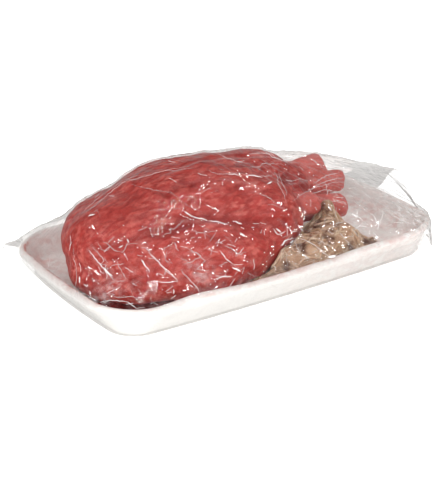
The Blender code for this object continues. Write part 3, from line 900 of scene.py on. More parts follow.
print("sheet reaches", round(height.max() / MM, 1), "mm")


def sheet_height(x, y):
    """Height of the stretched sheet at plan places, between its cells."""
    u = np.clip((x - grid_x[0]) / FILM_CELL, 0.0, len(grid_x) - 1.001)
    v = np.clip((y - grid_y[0]) / FILM_CELL, 0.0, len(grid_y) - 1.001)
    i, j = u.astype(int), v.astype(int)
    fu, fv = u - i, v - j
    low = height[i, j] * (1.0 - fv) + height[i, j + 1] * fv
    high = height[i + 1, j] * (1.0 - fv) + height[i + 1, j + 1] * fv
    return low * (1.0 - fu) + high * fu


# %% [markdown]
# ## The film as a mesh
#
# The mesh follows the tray: its columns run from the free edge up the wall,
# over the lip and then inwards over the meat to a line along the middle.  Rows
# are spaced evenly along each column, not in plan, so the steep sides of the
# heart get as many of them as its flat top.

# %% Rings of the film
TOP_ROWS = 92
WALL_ROWS = 14
SPINE = 0.42                 # the middle line's share of the tray's length

def top_rows():
    """Rows from just outside the lip to the middle line, evenly spaced in space."""
    start = outline(film_columns, -0.6 * MM)
    crossing = np.column_stack([start[:, 0] * SPINE, np.zeros(len(start))])
    shares = np.linspace(0.0, 1.0, 260)
    x = start[:, 0] + shares[:, None] * (crossing[:, 0] - start[:, 0])
    y = start[:, 1] + shares[:, None] * (crossing[:, 1] - start[:, 1])
    z = sheet_height(x, y)
    run = np.sqrt(np.diff(x, axis=0) ** 2 + np.diff(y, axis=0) ** 2 + np.diff(z, axis=0) ** 2)
    run = np.vstack([np.zeros(x.shape[1]), np.cumsum(run, axis=0)])
    rows = np.zeros((TOP_ROWS, x.shape[1], 3))
    for c in range(x.shape[1]):
        places = np.linspace(0.0, run[-1, c], TOP_ROWS)
        for axis, values in enumerate((x, y, z)):
            rows[:, c, axis] = np.interp(places, run[:, c], values[:, c])
    return rows, run[-1]


def wall_rows(first_top):
    """Rows from the free edge to the lip: down the wall, or out to the flap."""
    plan = outline(film_columns, -1.0 * MM)
    loose = np.maximum(flap_share(plan), ear_share(plan))[:, None]
    foot = np.column_stack([outline(film_columns, 9.2 * MM), np.full(len(plan), 0.7 * MM)])
    bend = np.column_stack([outline(film_columns, -5.0 * MM), np.full(len(plan), 9.0 * MM)])
    far = step(0.0, 0.5, loose) * (bend - foot) * 2.0 * (1.0 - loose)
    edge = foot + (film_rim - foot) * loose + 0.5 * far
    side = np.column_stack([outline(film_columns, -0.6 * MM), np.full(len(plan), 15.6 * MM)])
    side = side + (first_top - side) * step(0.3, 0.9, loose)
    return np.array([edge + (side - edge) * t for t in np.linspace(0.0, 1.0, WALL_ROWS, endpoint=False)])


top, column_run = top_rows()
wall = wall_rows(top[0])
film_rings = np.concatenate([wall, top])
film_shape = film_rings.shape[:2]
film_points = film_rings.reshape(-1, 3)
film_faces = ring_faces(*film_shape)
film = add_piece("stretch_film", film_points, film_faces)
print("film points:", len(film_points), "faces:", len(film_faces))


# %% [markdown]
# ## Creases in the film
#
# Stretch film is never smooth: it is pulled into flat facets with sharp edges,
# and into short folds that run down the slopes.  Each edge catches the lamps as
# a bright line, and those lines are what the eye reads as film.  So the relief
# has three layers: large and small facets, some hundred short random folds, and
# the long folds that are placed one by one.  All of it goes outwards only, away
# from the meat.

# %% Facets
def facet_field(u, v, width, length, seed):
    """0 to 1 over a net of flat triangles whose corners have random heights."""
    rng = np.random.default_rng(seed)
    around = u.max() + FILM_SPACING
    nx, ny = max(3, round(around / width)), max(3, round(v.max() / length) + 1)
    corners = []
    for i in range(nx):
        for j in range(-1, ny + 1):
            x = (i + rng.uniform(0.1, 0.9)) * around / nx
            y = (j + rng.uniform(0.1, 0.9)) * v.max() / ny
            z = rng.uniform(0.0, 1.0)
            corners += [(x + k * around, y, z) for k in (-1, 0, 1)]
    flat, _, triangles, *_ = geometry.delaunay_2d_cdt([Vector(c[:2]) for c in corners], [], [], 0, 1e-9)
    tree = BVHTree.FromPolygons([(*flat[k], corners[k][2]) for k in range(len(flat))], triangles)
    down = Vector((0.0, 0.0, -1.0))
    hits = (tree.ray_cast(Vector((a, b, 5.0)), down)[0] for a, b in zip(u, v))
    return np.array([hit.z if hit else 0.0 for hit in hits])


FILM_SPACING = 1.1 * MM
row_of, column_of = np.divmod(np.arange(len(film_points)), film_shape[1])
film_u = column_of * FILM_SPACING
film_v = row_of * column_run.mean() / TOP_ROWS
large_facets = facet_field(film_u, film_v, 15 * MM, 17 * MM, 3)
small_facets = facet_field(film_u, film_v, 4.5 * MM, 7.5 * MM, 5)
tiny_facets = facet_field(film_u, film_v, 2.6 * MM, 4.0 * MM, 6)
print("facets from", round(large_facets.min(), 2), "to", round(large_facets.max(), 2))


# %% Short random folds
def fold_frame(points, normals, row, column):
    """A place on the film with its normal and the direction up the slope."""
    rows, columns = film_shape
    here = points[row, column]
    uphill = points[min(row + 2, rows - 1), column] - points[row - 2, column]
    uphill = uphill / max(np.linalg.norm(uphill), 1e-9)
    return here, normals[row, column], uphill


def random_folds(points, normals, count, seed):
    """Relief of many short ridges, most of them running down the slopes."""
    rng = np.random.default_rng(seed)
    rows, columns = film_shape
    relief = np.zeros(film_shape)
    for _ in range(count):
        row, column = rng.integers(4, rows - 14), rng.integers(0, columns)
        here, normal, uphill = fold_frame(points, normals, row, column)
        turn = rng.normal(0.0, 0.6)
        along = uphill * math.cos(turn) + np.cross(normal, uphill) * math.sin(turn)
        length, width = rng.uniform(2.0, 8.5) * MM, rng.uniform(0.45, 1.1) * MM
        tall = rng.uniform(0.25, 0.75) * width
        near = np.ix_(range(max(0, row - 12), min(rows, row + 13)),
                      (column + np.arange(-12, 13)) % columns)
        gap = points[near] - here
        lengthways = (gap @ along) / length
        bend = rng.uniform(-0.25, 0.25) * length * lengthways ** 2
        across = (gap @ np.cross(normal, along) + bend) / width
        window = np.clip(1.0 - lengthways ** 2, 0.0, 1.0)
        relief[near] = np.maximum(relief[near], tall * window * np.exp(-across ** 2))
    return relief


grid_points = film_rings
film_normals = normals_of(film).reshape(*film_shape, 3)
short_folds = random_folds(grid_points, film_normals, 1500, 12)
print("tallest short fold:", round(short_folds.max() / MM, 2), "mm")


# %% Long folds, placed one by one
# Each is a path in millimetres, then its half width and its height.
LONG_FOLDS = (
    (((17, 0, 64), (50, 2, 52), (90, 3, 38), (124, 4, 25)), 1.3, 0.9),
    (((30, -6, 56), (60, -6, 46), (95, -5, 33), (122, -6, 16)), 0.8, 0.5),
    (((40, 2, 53), (66, -4, 44), (92, -10, 30), (118, -18, 12)), 0.7, 0.5),
    (((22, -30, 52), (46, -22, 45), (70, -18, 38), (96, -16, 26)), 0.7, 0.4),
    (((-98, -16, 37), (-98, -24, 34), (-98, -32, 32), (-97, -42, 28)), 0.8, 0.8),
    (((-95, -16, 38), (-94, -26, 34), (-95, -36, 30), (-97, -42, 28)), 0.6, 0.6),
    (((-77, -36, 44), (-75, -46, 38), (-73, -54, 33), (-70, -60, 28)), 0.8, 0.8),
    (((-70, -60, 28), (-74, -61, 28), (-78, -60, 28)), 0.7, 0.6),
    (((-66, -46, 40), (-60, -56, 33), (-54, -66, 24)), 0.6, 0.4),
    (((-52, -36, 50), (-46, -38, 50), (-38, -43, 48), (-28, -47, 46)), 0.8, 0.8),
    (((-16, -22, 62), (-8, -25, 60), (2, -29, 58)), 0.8, 0.7),
    (((-36, -60, 36), (-30, -62, 33), (-26, -66, 28)), 0.8, 0.6),
    (((49, -44, 38), (47, -50, 35), (48, -56, 30)), 0.6, 0.7),
    (((58, -46, 37), (60, -54, 32), (70, -48, 32)), 0.6, 0.7),
    (((2, -50, 42), (6, -56, 37), (2, -62, 31)), 0.7, 0.7),
    (((12, -50, 40), (10, -58, 34), (4, -66, 26)), 0.6, 0.5),
)


def snapped(path, surface, spacing=3.0):
    """The path with points added, every one moved onto the surface."""
    fine = []
    for a, b in zip(path, path[1:]):
        pieces = max(1, round(math.dist(a, b) / spacing))
        fine += [Vector(a).lerp(Vector(b), k / pieces) for k in range(pieces)]
    fine.append(Vector(path[-1]))
    return [tuple(surface.find_nearest(p * MM)[0] / MM) for p in fine]


def placed_folds(points, folds):
    surface = surface_of(film)
    relief = np.zeros(len(points))
    for path, width, tall in folds:
        gap = distance_to_path(points, snapped(path, surface))
        relief = np.maximum(relief, tall * MM * np.exp(-(gap / (width * MM)) ** 2))
    return relief


long_folds = placed_folds(film_points, LONG_FOLDS)
print("points on long folds:", int((long_folds > 0.1 * MM).sum()))


# %% Move the film
on_top = step(WALL_ROWS - 2.0, WALL_ROWS + 4.0, row_of)
calm = 0.85 * np.clip(cloud(film_points, (-52, -12, 58), 22) + cloud(film_points, (-78, -2, 50), 20)
                      + cloud(film_points, (-14, -34, 54), 11), 0.0, 1.0)
busy = step(46 * MM, 38 * MM, film_points[:, 2]) * step(-0.020, -0.032, film_points[:, 1])
relief = 0.80 * large_facets + (0.60 + 0.55 * busy) * small_facets
relief = (relief + (0.22 + 0.35 * busy) * tiny_facets) * MM
relief = (relief * 0.9 + short_folds.ravel()) * (0.25 + 0.75 * on_top) * (1.0 - calm) + long_folds
short_folds *= (1.0 - calm).reshape(film_shape)
end = step(film_shape[0] - 1.0, film_shape[0] - 5.0, row_of)
film_points = film_points + film_normals.reshape(-1, 3) * (relief * end)[:, None]
move_points(film, film_points)
store(film, "fold", np.clip((0.35 * short_folds.ravel() + 2.0 * long_folds) / (0.6 * MM), 0.0, 1.0))
print("film relief up to", round(relief.max() / MM, 2), "mm")


# %% [markdown]
# ## The film's finish
#
# Clear film shows itself in two ways.  It mirrors the lamps, more so where it
# is seen at a flat angle, which is what Fresnel gives; and it is a little
# cloudy where it lies double, in folds and at its loose ends.  So the finish is
# a see-through shader mixed with a mirror by Fresnel, then with a thin white by
# a mask.  The mirror is a Principled shader with full Metallic.

# %% Where the film is cloudy
plan = outline(film_columns, -1.0 * MM)
loose = np.tile(np.maximum(flap_share(plan), ear_share(plan)), film_shape[0])
below_lip = step(WALL_ROWS + 1.0, WALL_ROWS - 3.0, row_of)
# Loose film lies in layers, and its haze is painted darker there as shade.
store(film, "layers_and_shade", np.clip(below_lip * loose * 1.2 + 0.25 * loose * (1.0 - below_lip), 0.0, 1.0))
veil = 0.35 * below_lip * loose + 0.02 * below_lip
veil += 0.48 * cloud(film_points, (-57, -62, 30), 8) + 0.6 * cloud(film_points, (-103, -46, 24), 8)
veil += 0.15 * step(WALL_ROWS + 7.0, WALL_ROWS + 1.0, row_of) * (1.0 - below_lip)
veil += 1.0 * cloud(film_points, (94, -56, 20), 20) + 0.25 * cloud(film_points, (-91, -46, 31), 7)
veil *= 1.0 - cloud(film_points, (-100, -57, 19), 10)
store(film, "veil", np.clip(veil, 0.0, 1.0))


# %% Film finish
def film_finish(name, cloudiness):
    material, tree, mirror = new_material(name)
    mirror.inputs["Base Color"].default_value = (1.0, 1.0, 1.0, 1.0)
    mirror.inputs["Metallic"].default_value = 1.0
    mirror.inputs["Roughness"].default_value = 0.05
    ripple = use_group(tree, grain, Cells=420.0, Cell_share=0.25, Ripple=260.0)
    wrinkled = bump(tree, mirror, ripple, 0.8 * MM, 0.45)
    through = add_node(tree, "ShaderNodeBsdfTransparent")
    tree.links.new(mix_colour(tree, read(tree, "layers_and_shade"), (0.950, 0.940, 0.930), (0.87, 0.855, 0.845)),
                   through.inputs["Color"])
    edge_on = add_node(tree, "ShaderNodeFresnel", {"IOR": 1.45, "Normal": wrinkled})
    both_faces = arithmetic(tree, "MULTIPLY", edge_on.outputs[0], 1.35)
    both_faces = arithmetic(tree, "MINIMUM", both_faces, 0.42)
    clear = add_node(tree, "ShaderNodeMixShader",
                     {0: both_faces, 1: through.outputs[0], 2: mirror.outputs[0]})
    white = add_node(tree, "ShaderNodeBsdfPrincipled", {"Roughness": 0.5})
    # The haze turns grey where the film is loose: partly layered film, partly painted shade.
    tree.links.new(mix_colour(tree, read(tree, "layers_and_shade"), (0.95, 0.93, 0.92), (0.60, 0.585, 0.575)),
                   white.inputs["Base Color"])
    patchy = use_group(tree, blotches, Scale=330.0, From=0.35, To=0.70)
    doubled = arithmetic(tree, "MULTIPLY", read(tree, "veil"), patchy)
    creased = arithmetic(tree, "MULTIPLY", read(tree, "fold"), 0.12)
    clouded = arithmetic(tree, "MULTIPLY", arithmetic(tree, "ADD", doubled, creased), cloudiness)
    finish = add_node(tree, "ShaderNodeMixShader",
                      {0: clouded, 1: clear.outputs[0], 2: white.outputs[0]})
    tree.links.new(finish.outputs[0], tree.nodes["Material Output"].inputs["Surface"])
    return material


film.data.materials.append(film_finish("clear stretch film", 0.42))


# %% [markdown]
# ## Hard creases and painted glints
#
# Where the film is folded hard it stays white, as a thin jagged line, and that
# line also catches the lamps.  The strong creases are drawn one by one as paths
# that are then dropped onto the film.  Among them, short lines of near-opaque
# white are painted glints, put where the lamps' highlights fall.  Geometry Nodes
# turn the paths into thin tapered lines.  The fine wrinkles between them follow
# no plan, so the tree that laid the strands of tissue lays them too, over the
# busy parts of the film.

# %% Crease and painted glint finish
def crease_and_glint_finish():
    material, tree, shader = new_material("creased stretch film and painted glints")
    # White and nearly opaque where the tone is high: on the whitest lines this is a painted glint.
    shader.inputs["Base Color"].default_value = (0.93, 0.90, 0.89, 1.0)
    shader.inputs["Roughness"].default_value = 0.18
    shader.inputs["Coat Weight"].default_value = 1.0
    shader.inputs["Coat Roughness"].default_value = 0.05
    through = add_node(tree, "ShaderNodeBsdfTransparent")
    finish = add_node(tree, "ShaderNodeMixShader",
                      {0: read(tree, "tone"), 1: through.outputs[0], 2: shader.outputs[0]})
    tree.links.new(finish.outputs[0], tree.nodes["Material Output"].inputs["Surface"])
    return material


creased_film_and_glints = crease_and_glint_finish()

# %% Crease lines and painted glints
# Each is a half width in millimetres, how white it is, and a path in millimetres.
# The whitest, mostly short ones are painted glints, put where the lamps' highlights fall.
CREASES_AND_GLINTS = (
    (0.42, 0.90, ((-46, -30, 50), (-45, -33, 49), (-44, -35, 48))),
    (0.38, 0.90, ((-44, -35, 49), (-41, -37, 47), (-38, -39, 46))),
    (0.34, 0.90, ((-37, -40, 46), (-33, -42, 45), (-29, -46, 44))),
    (0.36, 0.90, ((-24, -44, 44), (-20, -46, 42))),
    (0.65, 0.90, ((-24, -50, 39), (-22, -52, 37))),
    (0.60, 0.90, ((-38, -63, 27), (-35, -66, 25))),
    (0.26, 0.90, ((-10, -18, 60), (-6, -18, 59), (-3, -19, 58))),
    (0.30, 0.90, ((0, -20, 57), (5, -21, 57), (9, -23, 55))),
    (0.50, 0.90, ((8, -29, 53), (13, -27, 53))),
    (0.50, 0.85, ((-97, -33, 32), (-97, -36, 30), (-96, -39, 29))),
    (0.50, 0.85, ((-88, 0, 48), (-85, -2, 49))),
    (0.40, 0.80, ((-85, -26, 42), (-83, -28, 42))),
    (0.45, 0.80, ((-86, -29, 39), (-84, -30, 40))),
    (0.45, 0.80, ((-81, -29, 43), (-81, -31, 41))),
    (0.50, 0.85, ((-107, -23, 26), (-109, -27, 24))),
    (0.55, 0.85, ((-101, -23, 30), (-102, -25, 30))),
    (0.40, 0.85, ((-75, -38, 39), (-74, -41, 38))),
    (0.45, 0.80, ((-80, -42, 35), (-80, -46, 33))),
    (0.40, 0.80, ((-74, -63, 24), (-75, -65, 23))),
    (0.40, 0.80, ((-65, -64, 25), (-64, -66, 24))),
    (0.40, 0.80, ((-39, -52, 38), (-37, -53, 37))),
    (0.55, 0.90, ((38, -45, 39), (37, -49, 37))),
    (0.40, 0.90, ((46, -34, 42), (47, -34, 42))),
    (0.50, 0.90, ((48, -53, 34), (50, -56, 32))),
    (0.50, 0.90, ((52, -53, 34), (50, -56, 32))),
    (0.80, 0.90, ((19, -70, 21), (24, -71, 21))),
    (0.50, 0.85, ((-2, -52, 37), (0, -54, 35))),
    (0.50, 0.85, ((-4, -60, 30), (0, -58, 32))),
    (0.50, 0.80, ((2, -60, 30), (4, -59, 31))),
    (0.45, 0.80, ((12, -54, 35), (13, -56, 33))),
    (0.35, 0.85, ((58, -64, 26), (63, -60, 28))),
    (0.40, 0.80, ((-108, -30, 24), (-108, -32, 24))),
    (0.35, 0.80, ((5, -66, 25), (7, -68, 23))),
    (0.40, 0.80, ((-16, -49, 40), (-14, -49, 40))),
    (0.35, 0.80, ((-63, -33, 45), (-61, -33, 45))),
    (0.30, 0.75, ((-99, -18, 39), (-98, -25, 36), (-98, -34, 33), (-97, -41, 30))),
    (0.18, 0.45, ((-98, -20, 39), (-97, -28, 36), (-97, -36, 32), (-97, -43, 29))),
    (0.30, 0.80, ((-77, -42, 40), (-75, -48, 37), (-74, -53, 35), (-72, -58, 31), (-70, -62, 28))),
    (0.26, 0.75, ((-70, -62, 28), (-73, -61, 28), (-76, -59, 28), (-79, -57, 29))),
    (0.18, 0.45, ((-73, -52, 35), (-75, -56, 32), (-75, -54, 33))),
    (0.22, 0.65, ((-62, -46, 44), (-63, -50, 40))),
    (0.16, 0.40, ((-51, -42, 47), (-45, -47, 46), (-42, -51, 43))),
    (0.26, 0.75, ((-41, -57, 37), (-39, -61, 34), (-37, -64, 30))),
    (0.20, 0.60, ((-66, -58, 33), (-64, -62, 29), (-62, -68, 24), (-62, -69, 22))),
    (0.28, 0.80, ((-50, -66, 26), (-46, -67, 26), (-41, -68, 25))),
    (0.22, 0.40, ((-91, -35, 37), (-92, -40, 34), (-92, -46, 30))),
    (0.30, 0.75, ((-81, -44, 37), (-81, -48, 34), (-81, -51, 32))),
    (0.18, 0.45, ((-108, -23, 26), (-109, -27, 24))),
    (0.18, 0.50, ((-90, -54, 27), (-90, -59, 24))),
    (0.16, 0.40, ((-103, -6, 36), (-105, -13, 31), (-108, -20, 27), (-112, -26, 22), (-112, -32, 19))),
    (0.26, 0.50, ((-108, -48, 20), (-104, -50, 22), (-100, -55, 22), (-98, -58, 22),
        (-96, -63, 20), (-92, -65, 20))),
    (0.20, 0.35, ((-103, -47, 24), (-100, -52, 23), (-94, -56, 24), (-93, -62, 22))),
    (0.30, 0.30, ((-63, -57, 35), (-58, -57, 35), (-52, -57, 37), (-56, -54, 40), (-58, -52, 41))),
    (0.30, 0.30, ((-52, -57, 37), (-51, -59, 34), (-57, -61, 31), (-51, -63, 30))),
    (0.26, 0.35, ((-37, -56, 39), (-31, -60, 35), (-26, -61, 33))),
    (0.20, 0.35, ((-93, -22, 43), (-89, -31, 41), (-87, -34, 41))),
    (0.20, 0.35, ((-95, -19, 42), (-95, -26, 40), (-91, -28, 42))),
    (0.20, 0.40, ((-88, -33, 41), (-86, -34, 42), (-83, -33, 44))),
    (0.24, 0.35, ((-65, -39, 46), (-61, -38, 48), (-50, -37, 50))),
    (0.20, 0.30, ((-68, -47, 41), (-69, -50, 38), (-70, -54, 35))),
    (0.30, 0.16, ((-62, -22, 55), (-53, -26, 55), (-44, -31, 55))),
    (0.20, 0.22, ((-59, 6, 60), (-54, -9, 61), (-47, -17, 61), (-44, -29, 56), (-36, -39, 51))),
    (0.30, 0.14, ((-39, 3, 65), (-31, -3, 66), (-26, -8, 66))),
    (0.16, 0.35, ((-92, 3, 49), (-75, 9, 56), (-61, 13, 60), (-46, 5, 64), (-26, -1, 66))),
    (0.14, 0.30, ((-95, 5, 46), (-79, 12, 54), (-61, 16, 59), (-46, 8, 63))),
    (0.14, 0.25, ((-90, 0, 51), (-84, 0, 54), (-86, -8, 52))),
    (0.30, 0.25, ((-19, -12, 65), (-16, -18, 64), (-3, -19, 62), (2, -21, 60))),
    (0.22, 0.30, ((-3, 6, 66), (4, -6, 64), (10, -9, 62))),
    (0.30, 0.30, ((16, 0, 63), (30, 0, 61), (37, -7, 57), (43, -8, 54))),
    (0.20, 0.30, ((28, 8, 62), (32, 0, 60), (36, -7, 58), (39, -10, 55))),
    (0.30, 0.28, ((7, -14, 62), (21, -10, 60), (33, -9, 57), (35, -10, 57))),
    (0.30, 0.25, ((3, -21, 60), (12, -23, 58), (21, -21, 56))),
    (0.22, 0.45, ((45, -10, 53), (44, -15, 51))),
    (0.20, 0.40, ((57, -1, 51), (59, -5, 49), (63, -11, 46))),
    (0.30, 0.40, ((41, -27, 46), (59, -17, 44), (69, -14, 43))),
    (0.26, 0.38, ((32, -34, 46), (48, -26, 45), (63, -20, 42), (69, -20, 41))),
    (0.22, 0.35, ((18, -42, 48), (35, -32, 46), (52, -27, 43))),
    (0.20, 0.35, ((46, -29, 44), (59, -24, 42), (67, -24, 40))),
    (0.26, 0.40, ((34, -36, 45), (46, -32, 43), (53, -34, 40))),
    (0.26, 0.25, ((29, -25, 52), (36, -22, 50), (41, -24, 48))),
    (0.24, 0.30, ((23, -17, 57), (18, -30, 54), (16, -37, 52), (14, -43, 48))),
    (0.20, 0.30, ((25, -18, 56), (21, -29, 54), (17, -39, 50))),
    (0.18, 0.28, ((1, -43, 50), (5, -44, 48), (11, -46, 45))),
    (0.26, 0.28, ((-2, -35, 54), (3, -39, 52), (7, -43, 49))),
    (0.26, 0.80, ((-4, -53, 39), (-3, -56, 36), (2, -55, 36))),
    (0.26, 0.70, ((-5, -61, 31), (1, -59, 33), (7, -59, 33))),
    (0.30, 0.70, ((5, -54, 38), (7, -56, 35), (9, -56, 35))),
    (0.22, 0.70, ((9, -59, 32), (15, -64, 27), (20, -70, 20))),
    (0.20, 0.70, ((34, -60, 29), (35, -65, 26), (37, -70, 22))),
    (0.22, 0.55, ((5, -66, 25), (8, -69, 22))),
    (0.22, 0.50, ((5, -60, 32), (4, -65, 27), (-1, -67, 25))),
    (0.30, 0.85, ((48, -52, 34), (51, -55, 32), (52, -58, 30))),
    (0.26, 0.80, ((54, -51, 34), (50, -55, 32))),
    (0.26, 0.75, ((61, -54, 31), (60, -62, 27), (58, -64, 25))),
    (0.26, 0.75, ((58, -64, 26), (71, -53, 29))),
    (0.22, 0.55, ((43, -61, 28), (49, -60, 29), (53, -62, 27))),
    (0.28, 0.80, ((54, -65, 25), (56, -68, 23))),
    (0.22, 0.40, ((32, -56, 33), (37, -56, 32), (42, -56, 32))),
    (0.18, 0.30, ((58, -40, 37), (60, -47, 34), (60, -53, 32))),
    (0.20, 0.20, ((78, -18, 39), (89, -24, 32), (100, -35, 25))),
    (0.35, 0.30, ((89, -52, 24), (93, -58, 21), (90, -66, 19), (80, -69, 18), (70, -69, 21))),
    (0.30, 0.30, ((74, -50, 29), (77, -57, 26), (82, -62, 23), (93, -61, 20))),
    (0.30, 0.28, ((62, -69, 14), (71, -68, 13), (79, -68, 14), (86, -69, 17))),
    (0.30, 0.35, ((102, -39, 23), (101, -46, 22), (97, -57, 20))),
)


def crease_and_glint_edges(creases, surface):
    """A mesh of edges along the creases and painted glints, with a width that fades at both ends."""
    points, edges, widths, tones = [], [], [], []
    for half_width, tone, path in creases:
        line = snapped(path, surface, 1.3)
        start = len(points)
        last = len(line) - 1
        for k, point in enumerate(line):
            jag = noise.noise_vector(Vector(point) * 0.9) * 0.30
            points.append((Vector(point) + jag) * MM)
            ends = min(1.0, 0.25 + 3.0 * k / last, 0.25 + 3.0 * (last - k) / last)
            uneven = 0.75 + 0.5 * noise.noise(Vector(point) * 0.5)
            widths.append(half_width * MM * ends * uneven)
            tones.append(tone)
            if k > 0:
                edges.append((start + k - 1, start + k))
    piece = add_piece("crease_and_glint_paths", points, [])
    piece.data.clear_geometry()
    piece.data.from_pydata(points, edges, [])
    store(piece, "width", widths)
    store(piece, "tone", tones)
    return piece


def crease_and_glint_tree(material):
    tree = bpy.data.node_groups.new("lines along creases and glints", "GeometryNodeTree")
    face = tree.interface
    face.new_socket("Geometry", in_out="INPUT", socket_type="NodeSocketGeometry")
    face.new_socket("Width", in_out="INPUT", socket_type="NodeSocketFloat")
    face.new_socket("Geometry", in_out="OUTPUT", socket_type="NodeSocketGeometry")
    knob = tree.nodes.new("NodeGroupInput").outputs
    path = add_node(tree, "GeometryNodeMeshToCurve", {0: knob["Geometry"]})
    own = add_node(tree, "GeometryNodeInputNamedAttribute", {"Name": "width"}, data_type="FLOAT")
    wide = add_node(tree, "ShaderNodeMath", {0: own.outputs[0], 1: knob["Width"]},
                    operation="MULTIPLY")
    profile = add_node(tree, "GeometryNodeCurvePrimitiveCircle",
                       {"Resolution": 5, "Radius": 1.0}, mode="RADIUS")
    tube = add_node(tree, "GeometryNodeCurveToMesh",
                    {"Curve": path.outputs[0], "Profile Curve": profile.outputs[0],
                     "Scale": wide.outputs[0], "Fill Caps": True})
    done = add_node(tree, "GeometryNodeSetMaterial", {"Geometry": tube.outputs[0]})
    done.inputs["Material"].default_value = material
    leave = tree.nodes.new("NodeGroupOutput")
    tree.links.new(done.outputs[0], leave.inputs[0])
    return tree


crease_and_glint_paths = crease_and_glint_edges(CREASES_AND_GLINTS, surface_of(film))
film_creases_and_glints = run_tree(crease_and_glint_tree(creased_film_and_glints), crease_and_glint_paths, "film_creases_and_glints", Width=1.0)
bpy.data.objects.remove(crease_and_glint_paths)
print("crease points:", len(film_creases_and_glints.data.vertices))


# %% Fine wrinkles
wrinkled_share = 0.15 + 0.85 * busy
wrinkled_share *= on_top * (1.0 - calm)
store(film, "strand_share", wrinkled_share * step(film_shape[0] - 4.0, film_shape[0] - 12.0, row_of))
film_wrinkles = run_tree(strand_tree(creased_film_and_glints), film, "film_wrinkles", Seed=3, Length=0.006,
                         Strands_per_square_metre=22000.0, Thickness=0.11 * MM, Crinkle=0.004)
print("wrinkle points:", len(film_wrinkles.data.vertices))


# %% [markdown]
# ## The film under the tray
#
# The film is brought round and pressed together under the base, in flat pleats
# that run to the middle.  It is a thin sheet of its own, just under the foam.

# %% Film under the base
UNDER_ROWS = 26
under_columns = lip_columns(2.2 * MM)
rim_of_base = outline(under_columns, 9.2 * MM)
rows = []
for k in range(UNDER_ROWS):
    share = 1.0 - k / UNDER_ROWS
    plan = rim_of_base * share
    pleat = np.array([noise.noise((x * 60, y * 60, 5.0)) for x, y in rim_of_base])
    pleat = np.abs(pleat) * 0.5 + 0.25 * np.abs(noise_at(np.column_stack([plan, plan[:, 0]]), 0.012))
    rise = (0.10 + 0.55 * pleat) * MM + 0.55 * MM * step(0.93, 1.0, share)
    rows.append(np.column_stack([plan, np.clip(rise, 0.05 * MM, 0.7 * MM)]))
under_points = np.vstack(rows + [np.array([[0.0, 0.0, 0.2 * MM]])])
middle_point = len(under_points) - 1
under_faces = [face[::-1] for face in ring_faces(UNDER_ROWS, len(under_columns))][::-1]
last = (UNDER_ROWS - 1) * len(under_columns)
under_faces += [(last + (c + 1) % len(under_columns), last + c, middle_point)
                for c in range(len(under_columns))]
film_underside = add_piece("film_underside", under_points, under_faces)
ridges = 1.0 - np.abs(noise_at(under_points, 0.009, 2.0)) * 5.0
store(film_underside, "fold", np.clip(ridges, 0.0, 1.0))
store(film_underside, "layers_and_shade", np.full(len(under_points), 0.15))
store(film_underside, "veil", 0.25 + 0.5 * cloud(under_points, (0, 0, 0), 45))
film_underside.data.materials.append(film_finish("pleated stretch film", 0.5))
print("underside points:", len(under_points))


# %% [markdown]
# ## Floor and light
#
# The floor is plain and nearly white.  The room is a soft white dome with a
# large lamp at the front left.  What the film mirrors matters more than how it
# is lit: if it mirrored a white room, it would turn into fog.  So mirrored rays
# see a dark room, paler towards the back, with a few small bright lamps.

# %% Floor
def plain_floor():
    reach = 2.0
    corners = [(-reach, -reach), (reach, -reach), (reach, reach), (-reach, reach)]
    floor = add_piece("floor", [(x, y, -0.1 * MM) for x, y in corners], [(0, 1, 2, 3)])
    material, tree, shader = new_material("pale floor")
    shader.inputs["Base Color"].default_value = (0.90, 0.90, 0.90, 1.0)
    shader.inputs["Emission Color"].default_value = (1.0, 1.0, 1.0, 1.0)
    # Behind film the floor keeps its own brightness, so the film's tint shows.
    ray = add_node(tree, "ShaderNodeLightPath").outputs
    behind = arithmetic(tree, "MULTIPLY", ray["Transparent Depth"], ray["Is Camera Ray"])
    glow = add_node(tree, "ShaderNodeMapRange", {"Value": behind, 3: 0.60, 4: 0.33})
    tree.links.new(glow.outputs[0], shader.inputs["Emission Strength"])
    shader.inputs["Specular IOR Level"].default_value = 0.0
    floor.data.materials.append(material)
    floor.visible_glossy = False
    return floor


floor = plain_floor()


# %% Room
ROOM_LIGHT = 1.17
MIRRORED_DARK, MIRRORED_PALE = 0.01, 0.33

world = bpy.data.worlds.new("studio")
world.use_nodes = True
bpy.context.scene.world = world
tree = world.node_tree
ray = add_node(tree, "ShaderNodeLightPath").outputs
ahead = add_node(tree, "ShaderNodeTexCoord").outputs["Generated"]
back = add_node(tree, "ShaderNodeVectorMath", {0: ahead, 1: (0.45, 0.72, -0.30)},
                operation="DOT_PRODUCT")
mirrored = add_node(tree, "ShaderNodeMapRange",
                    {"Value": back.outputs["Value"], 1: 0.35, 2: 0.80,
                     3: MIRRORED_DARK, 4: MIRRORED_PALE}, interpolation_type="SMOOTHSTEP")
things = add_node(tree, "ShaderNodeTexNoise", {"Vector": ahead, "Scale": 3.2, "Detail": 1.0})
things = add_node(tree, "ShaderNodeMapRange",
                  {"Value": things.outputs["Fac"], 1: 0.50, 2: 0.56, 3: 0.0, 4: 1.0})
front = add_node(tree, "ShaderNodeVectorMath", {0: ahead, 1: (-0.30, -0.80, 0.42)},
                 operation="DOT_PRODUCT")
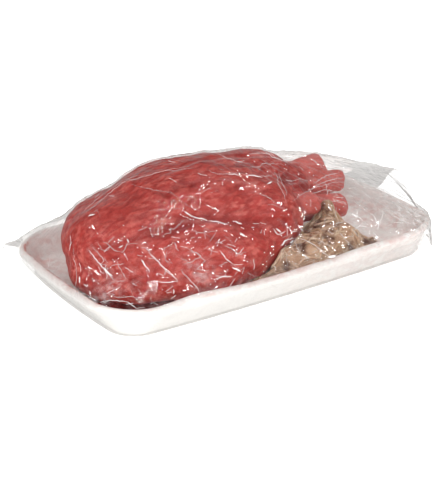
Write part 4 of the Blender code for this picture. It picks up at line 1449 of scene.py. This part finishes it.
in_front = add_node(tree, "ShaderNodeMapRange",
                    {"Value": front.outputs["Value"], 1: 0.55, 2: 0.85, 3: 0.0, 4: 0.9})
things = arithmetic(tree, "MULTIPLY", things.outputs[0], in_front.outputs[0])
seen = arithmetic(tree, "ADD", mirrored.outputs[0], things)
strength = add_node(tree, "ShaderNodeMix", {0: ray["Is Glossy Ray"], 2: ROOM_LIGHT, 3: seen})
strength = arithmetic(tree, "MAXIMUM", strength.outputs[0], ray["Is Camera Ray"])
tree.links.new(strength, tree.nodes["Background"].inputs["Strength"])
tree.nodes["Background"].inputs["Color"].default_value = (1.0, 1.0, 1.0, 1.0)


# %% Lamps
def lamp(name, place, size, power, mirrored):
    """A square lamp; a mirrored one only shows in gloss, a soft one only lights."""
    data = bpy.data.lights.new(name, "AREA")
    data.size, data.energy = size, power
    made = bpy.data.objects.new(name, data)
    made.location = place
    made.rotation_euler = (AIM - Vector(place)).to_track_quat("-Z", "Y").to_euler()
    made.visible_glossy = mirrored
    made.visible_diffuse = not mirrored
    bpy.context.scene.collection.objects.link(made)
    return made


lamp("soft front lamp", (-0.90, -1.10, 0.55), 1.2, 12.0, mirrored=False)
for number, place in enumerate(((0.47, 0.17, 0.87), (0.08, 0.06, 1.00), (-0.45, 0.46, 0.77),
                                (0.74, -0.22, 0.64), (0.24, -0.62, 0.75), (-0.50, -0.30, 0.81))):
    lamp(f"small lamp {number}", place, 0.055, 0.8, mirrored=True)
bpy.context.scene.view_settings.view_transform = "Standard"


# %% [markdown]
# ## Joining the pieces to the imported model
#
# Each piece rides on the model's one body, and the four main pieces hide the
# imported solids that they replace.

# %% Ride and replace
for piece, node, slot in ((foam_tray, "tray", "foam"), (heart, "heart", "raw_meat"),
                          (core, "trimmings", "connective_tissue"), (film, "film", "clear_film")):
    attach(piece, "root")
    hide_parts(node)
for piece, slot in ((cords, "connective_tissue"), (strands, "connective_tissue"),
                    (blood_and_shade_pool, "raw_meat"), (film_creases_and_glints, "clear_film"),
                    (film_wrinkles, "clear_film"), (film_underside, "clear_film")):
    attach(piece, "root")
